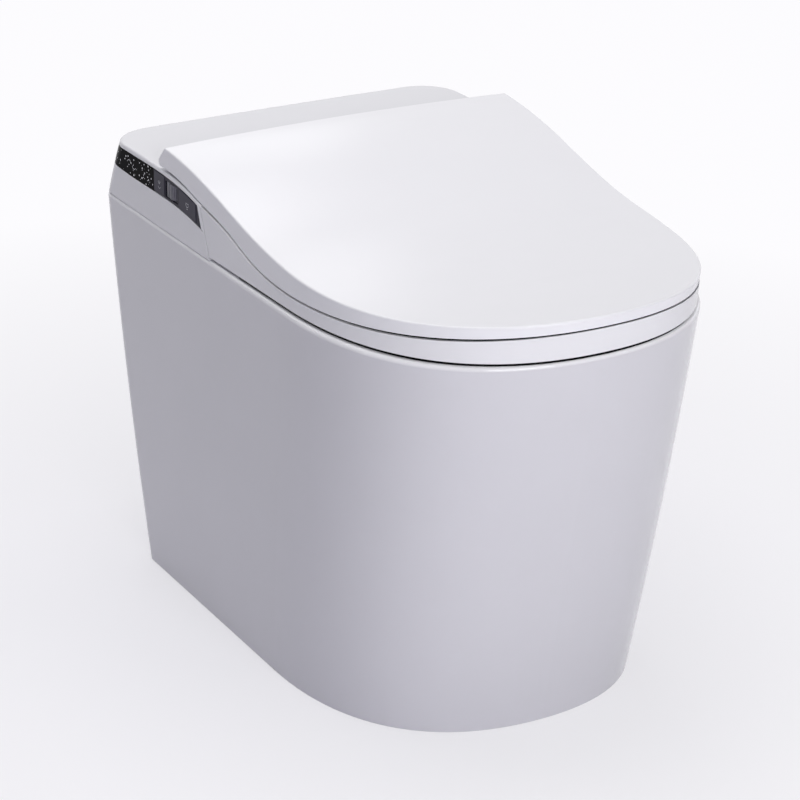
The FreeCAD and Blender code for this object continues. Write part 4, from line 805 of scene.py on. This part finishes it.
def seenRays(tree):
    # one for rays that show the surroundings to the camera, to gloss or through glass
    paths = newNode(tree, "ShaderNodeLightPath")
    total = paths.outputs["Is Camera Ray"]
    for label in ("Is Glossy Ray", "Is Transmission Ray"):
        add = newNode(tree, "ShaderNodeMath", operation="ADD", use_clamp=True)
        tree.links.new(total, add.inputs[0])
        tree.links.new(paths.outputs[label], add.inputs[1])
        total = add.outputs[0]
    return total


def makeFloor():
    mesh = bpy.data.meshes.new("stageFloor")
    reach, level = stageFloor["reach"], stageFloor["level"]
    mesh.from_pydata([(-reach, -reach, level), (reach, -reach, level), (reach, reach, level),
                      (-reach, reach, level)], [], [(0, 1, 2, 3)])
    floor = bpy.data.objects.new("stageFloor", mesh)
    scene.collection.objects.link(floor)
    material, tree, shader, coords = startMaterial("stageFloor")
    cloud = noise(tree, coords, stageFloor["cloudSize"], stageFloor["cloudDetail"])
    tone = stageFloor["tone"]
    lighter = tuple(part * stageFloor["cloudTone"] for part in tone)
    tree.links.new(twoTone(tree, cloud, tone, lighter), shader.inputs["Base Color"])
    shader.inputs["Roughness"].default_value = stageFloor["roughness"]
    shader.inputs["Specular IOR Level"].default_value = stageFloor["specular"]
    # the paper shows more and more away from the object, and the shadow stays near it
    middle = newNode(tree, "ShaderNodeMapping")
    middle.inputs["Location"].default_value = stageFloor["shift"]
    tree.links.new(coords, middle.inputs["Vector"])
    away = newNode(tree, "ShaderNodeVectorMath", operation="LENGTH")
    tree.links.new(middle.outputs["Vector"], away.inputs[0])
    share = spread(tree, away.outputs["Value"], stageFloor["shareNear"], stageFloor["shareFar"],
                   stageFloor["near"], stageFloor["far"])
    part = newNode(tree, "ShaderNodeMath", operation="MULTIPLY")
    tree.links.new(share, part.inputs[0])
    tree.links.new(seenRays(tree), part.inputs[1])
    paper = newNode(tree, "ShaderNodeEmission")
    paper.inputs["Color"].default_value = (*stageFloor["paper"], 1.0)
    mix = newNode(tree, "ShaderNodeMixShader")
    tree.links.new(part.outputs[0], mix.inputs[0])
    tree.links.new(shader.outputs[0], mix.inputs[1])
    tree.links.new(paper.outputs[0], mix.inputs[2])
    tree.links.new(mix.outputs[0], tree.nodes["Material Output"].inputs["Surface"])
    mesh.materials.append(material)


studio = {
    # name: place, aim, width, height, watts, colour
    "ceiling": ((-0.1, 0.7, 2.9), (0.0, 0.0, 0.2), 2.4, 2.4, 52.0, (1.0, 0.995, 1.0)),
    "front": ((-0.45, -3.0, 1.3), (0.0, 0.0, 0.25), 1.8, 1.2, 58.0, (1.0, 0.995, 1.0)),
    "rear": ((0.3, 2.6, 2.2), (0.0, 0.0, 0.3), 2.2, 1.0, 9.0, (1.0, 1.0, 1.0)),
    "left": ((-3.2, -0.6, 1.3), (0.0, 0.0, 0.25), 2.0, 1.6, 3.0, (0.58, 0.56, 1.0)),
    "right": ((3.2, 0.9, 0.9), (0.0, 0.0, 0.25), 1.6, 1.2, 6.0, (0.9, 0.9, 1.0)),
}


def makeLights():
    for name, (place, aim, width, height, watts, colour) in studio.items():
        data = bpy.data.lights.new(name, "AREA")
        data.shape = "RECTANGLE"
        data.size = width
        data.size_y = height
        data.energy = watts
        data.color = colour
        lamp = bpy.data.objects.new(name, data)
        lamp.location = place
        lamp.rotation_mode = "QUATERNION"
        lamp.rotation_quaternion = (Vector(aim) - Vector(place)).to_track_quat("-Z", "Y")
        scene.collection.objects.link(lamp)


# the tone lights the object, and the seen one is what camera, gloss and glass get
surround = {
    "tone": (0.94, 0.93, 1.0),
    "strength": 0.08,
    "seen": (0.985, 0.985, 1.0),
}


def makeWorld():
    world = bpy.data.worlds.new("studioAir")
    scene.world = world
    world.use_nodes = True
    tree = world.node_tree
    air = tree.nodes["Background"]
    air.inputs["Color"].default_value = (*surround["tone"], 1.0)
    air.inputs["Strength"].default_value = surround["strength"]
    paper = newNode(tree, "ShaderNodeBackground")
    paper.inputs["Color"].default_value = (*surround["seen"], 1.0)
    mix = newNode(tree, "ShaderNodeMixShader")
    tree.links.new(seenRays(tree), mix.inputs[0])
    tree.links.new(air.outputs[0], mix.inputs[1])
    tree.links.new(paper.outputs[0], mix.inputs[2])
    tree.links.new(mix.outputs[0], tree.nodes["World Output"].inputs["Surface"])


makeFloor()
makeLights()
makeWorld()
scene.view_settings.view_transform = "Standard"
print("stage: floor, lamps and world")
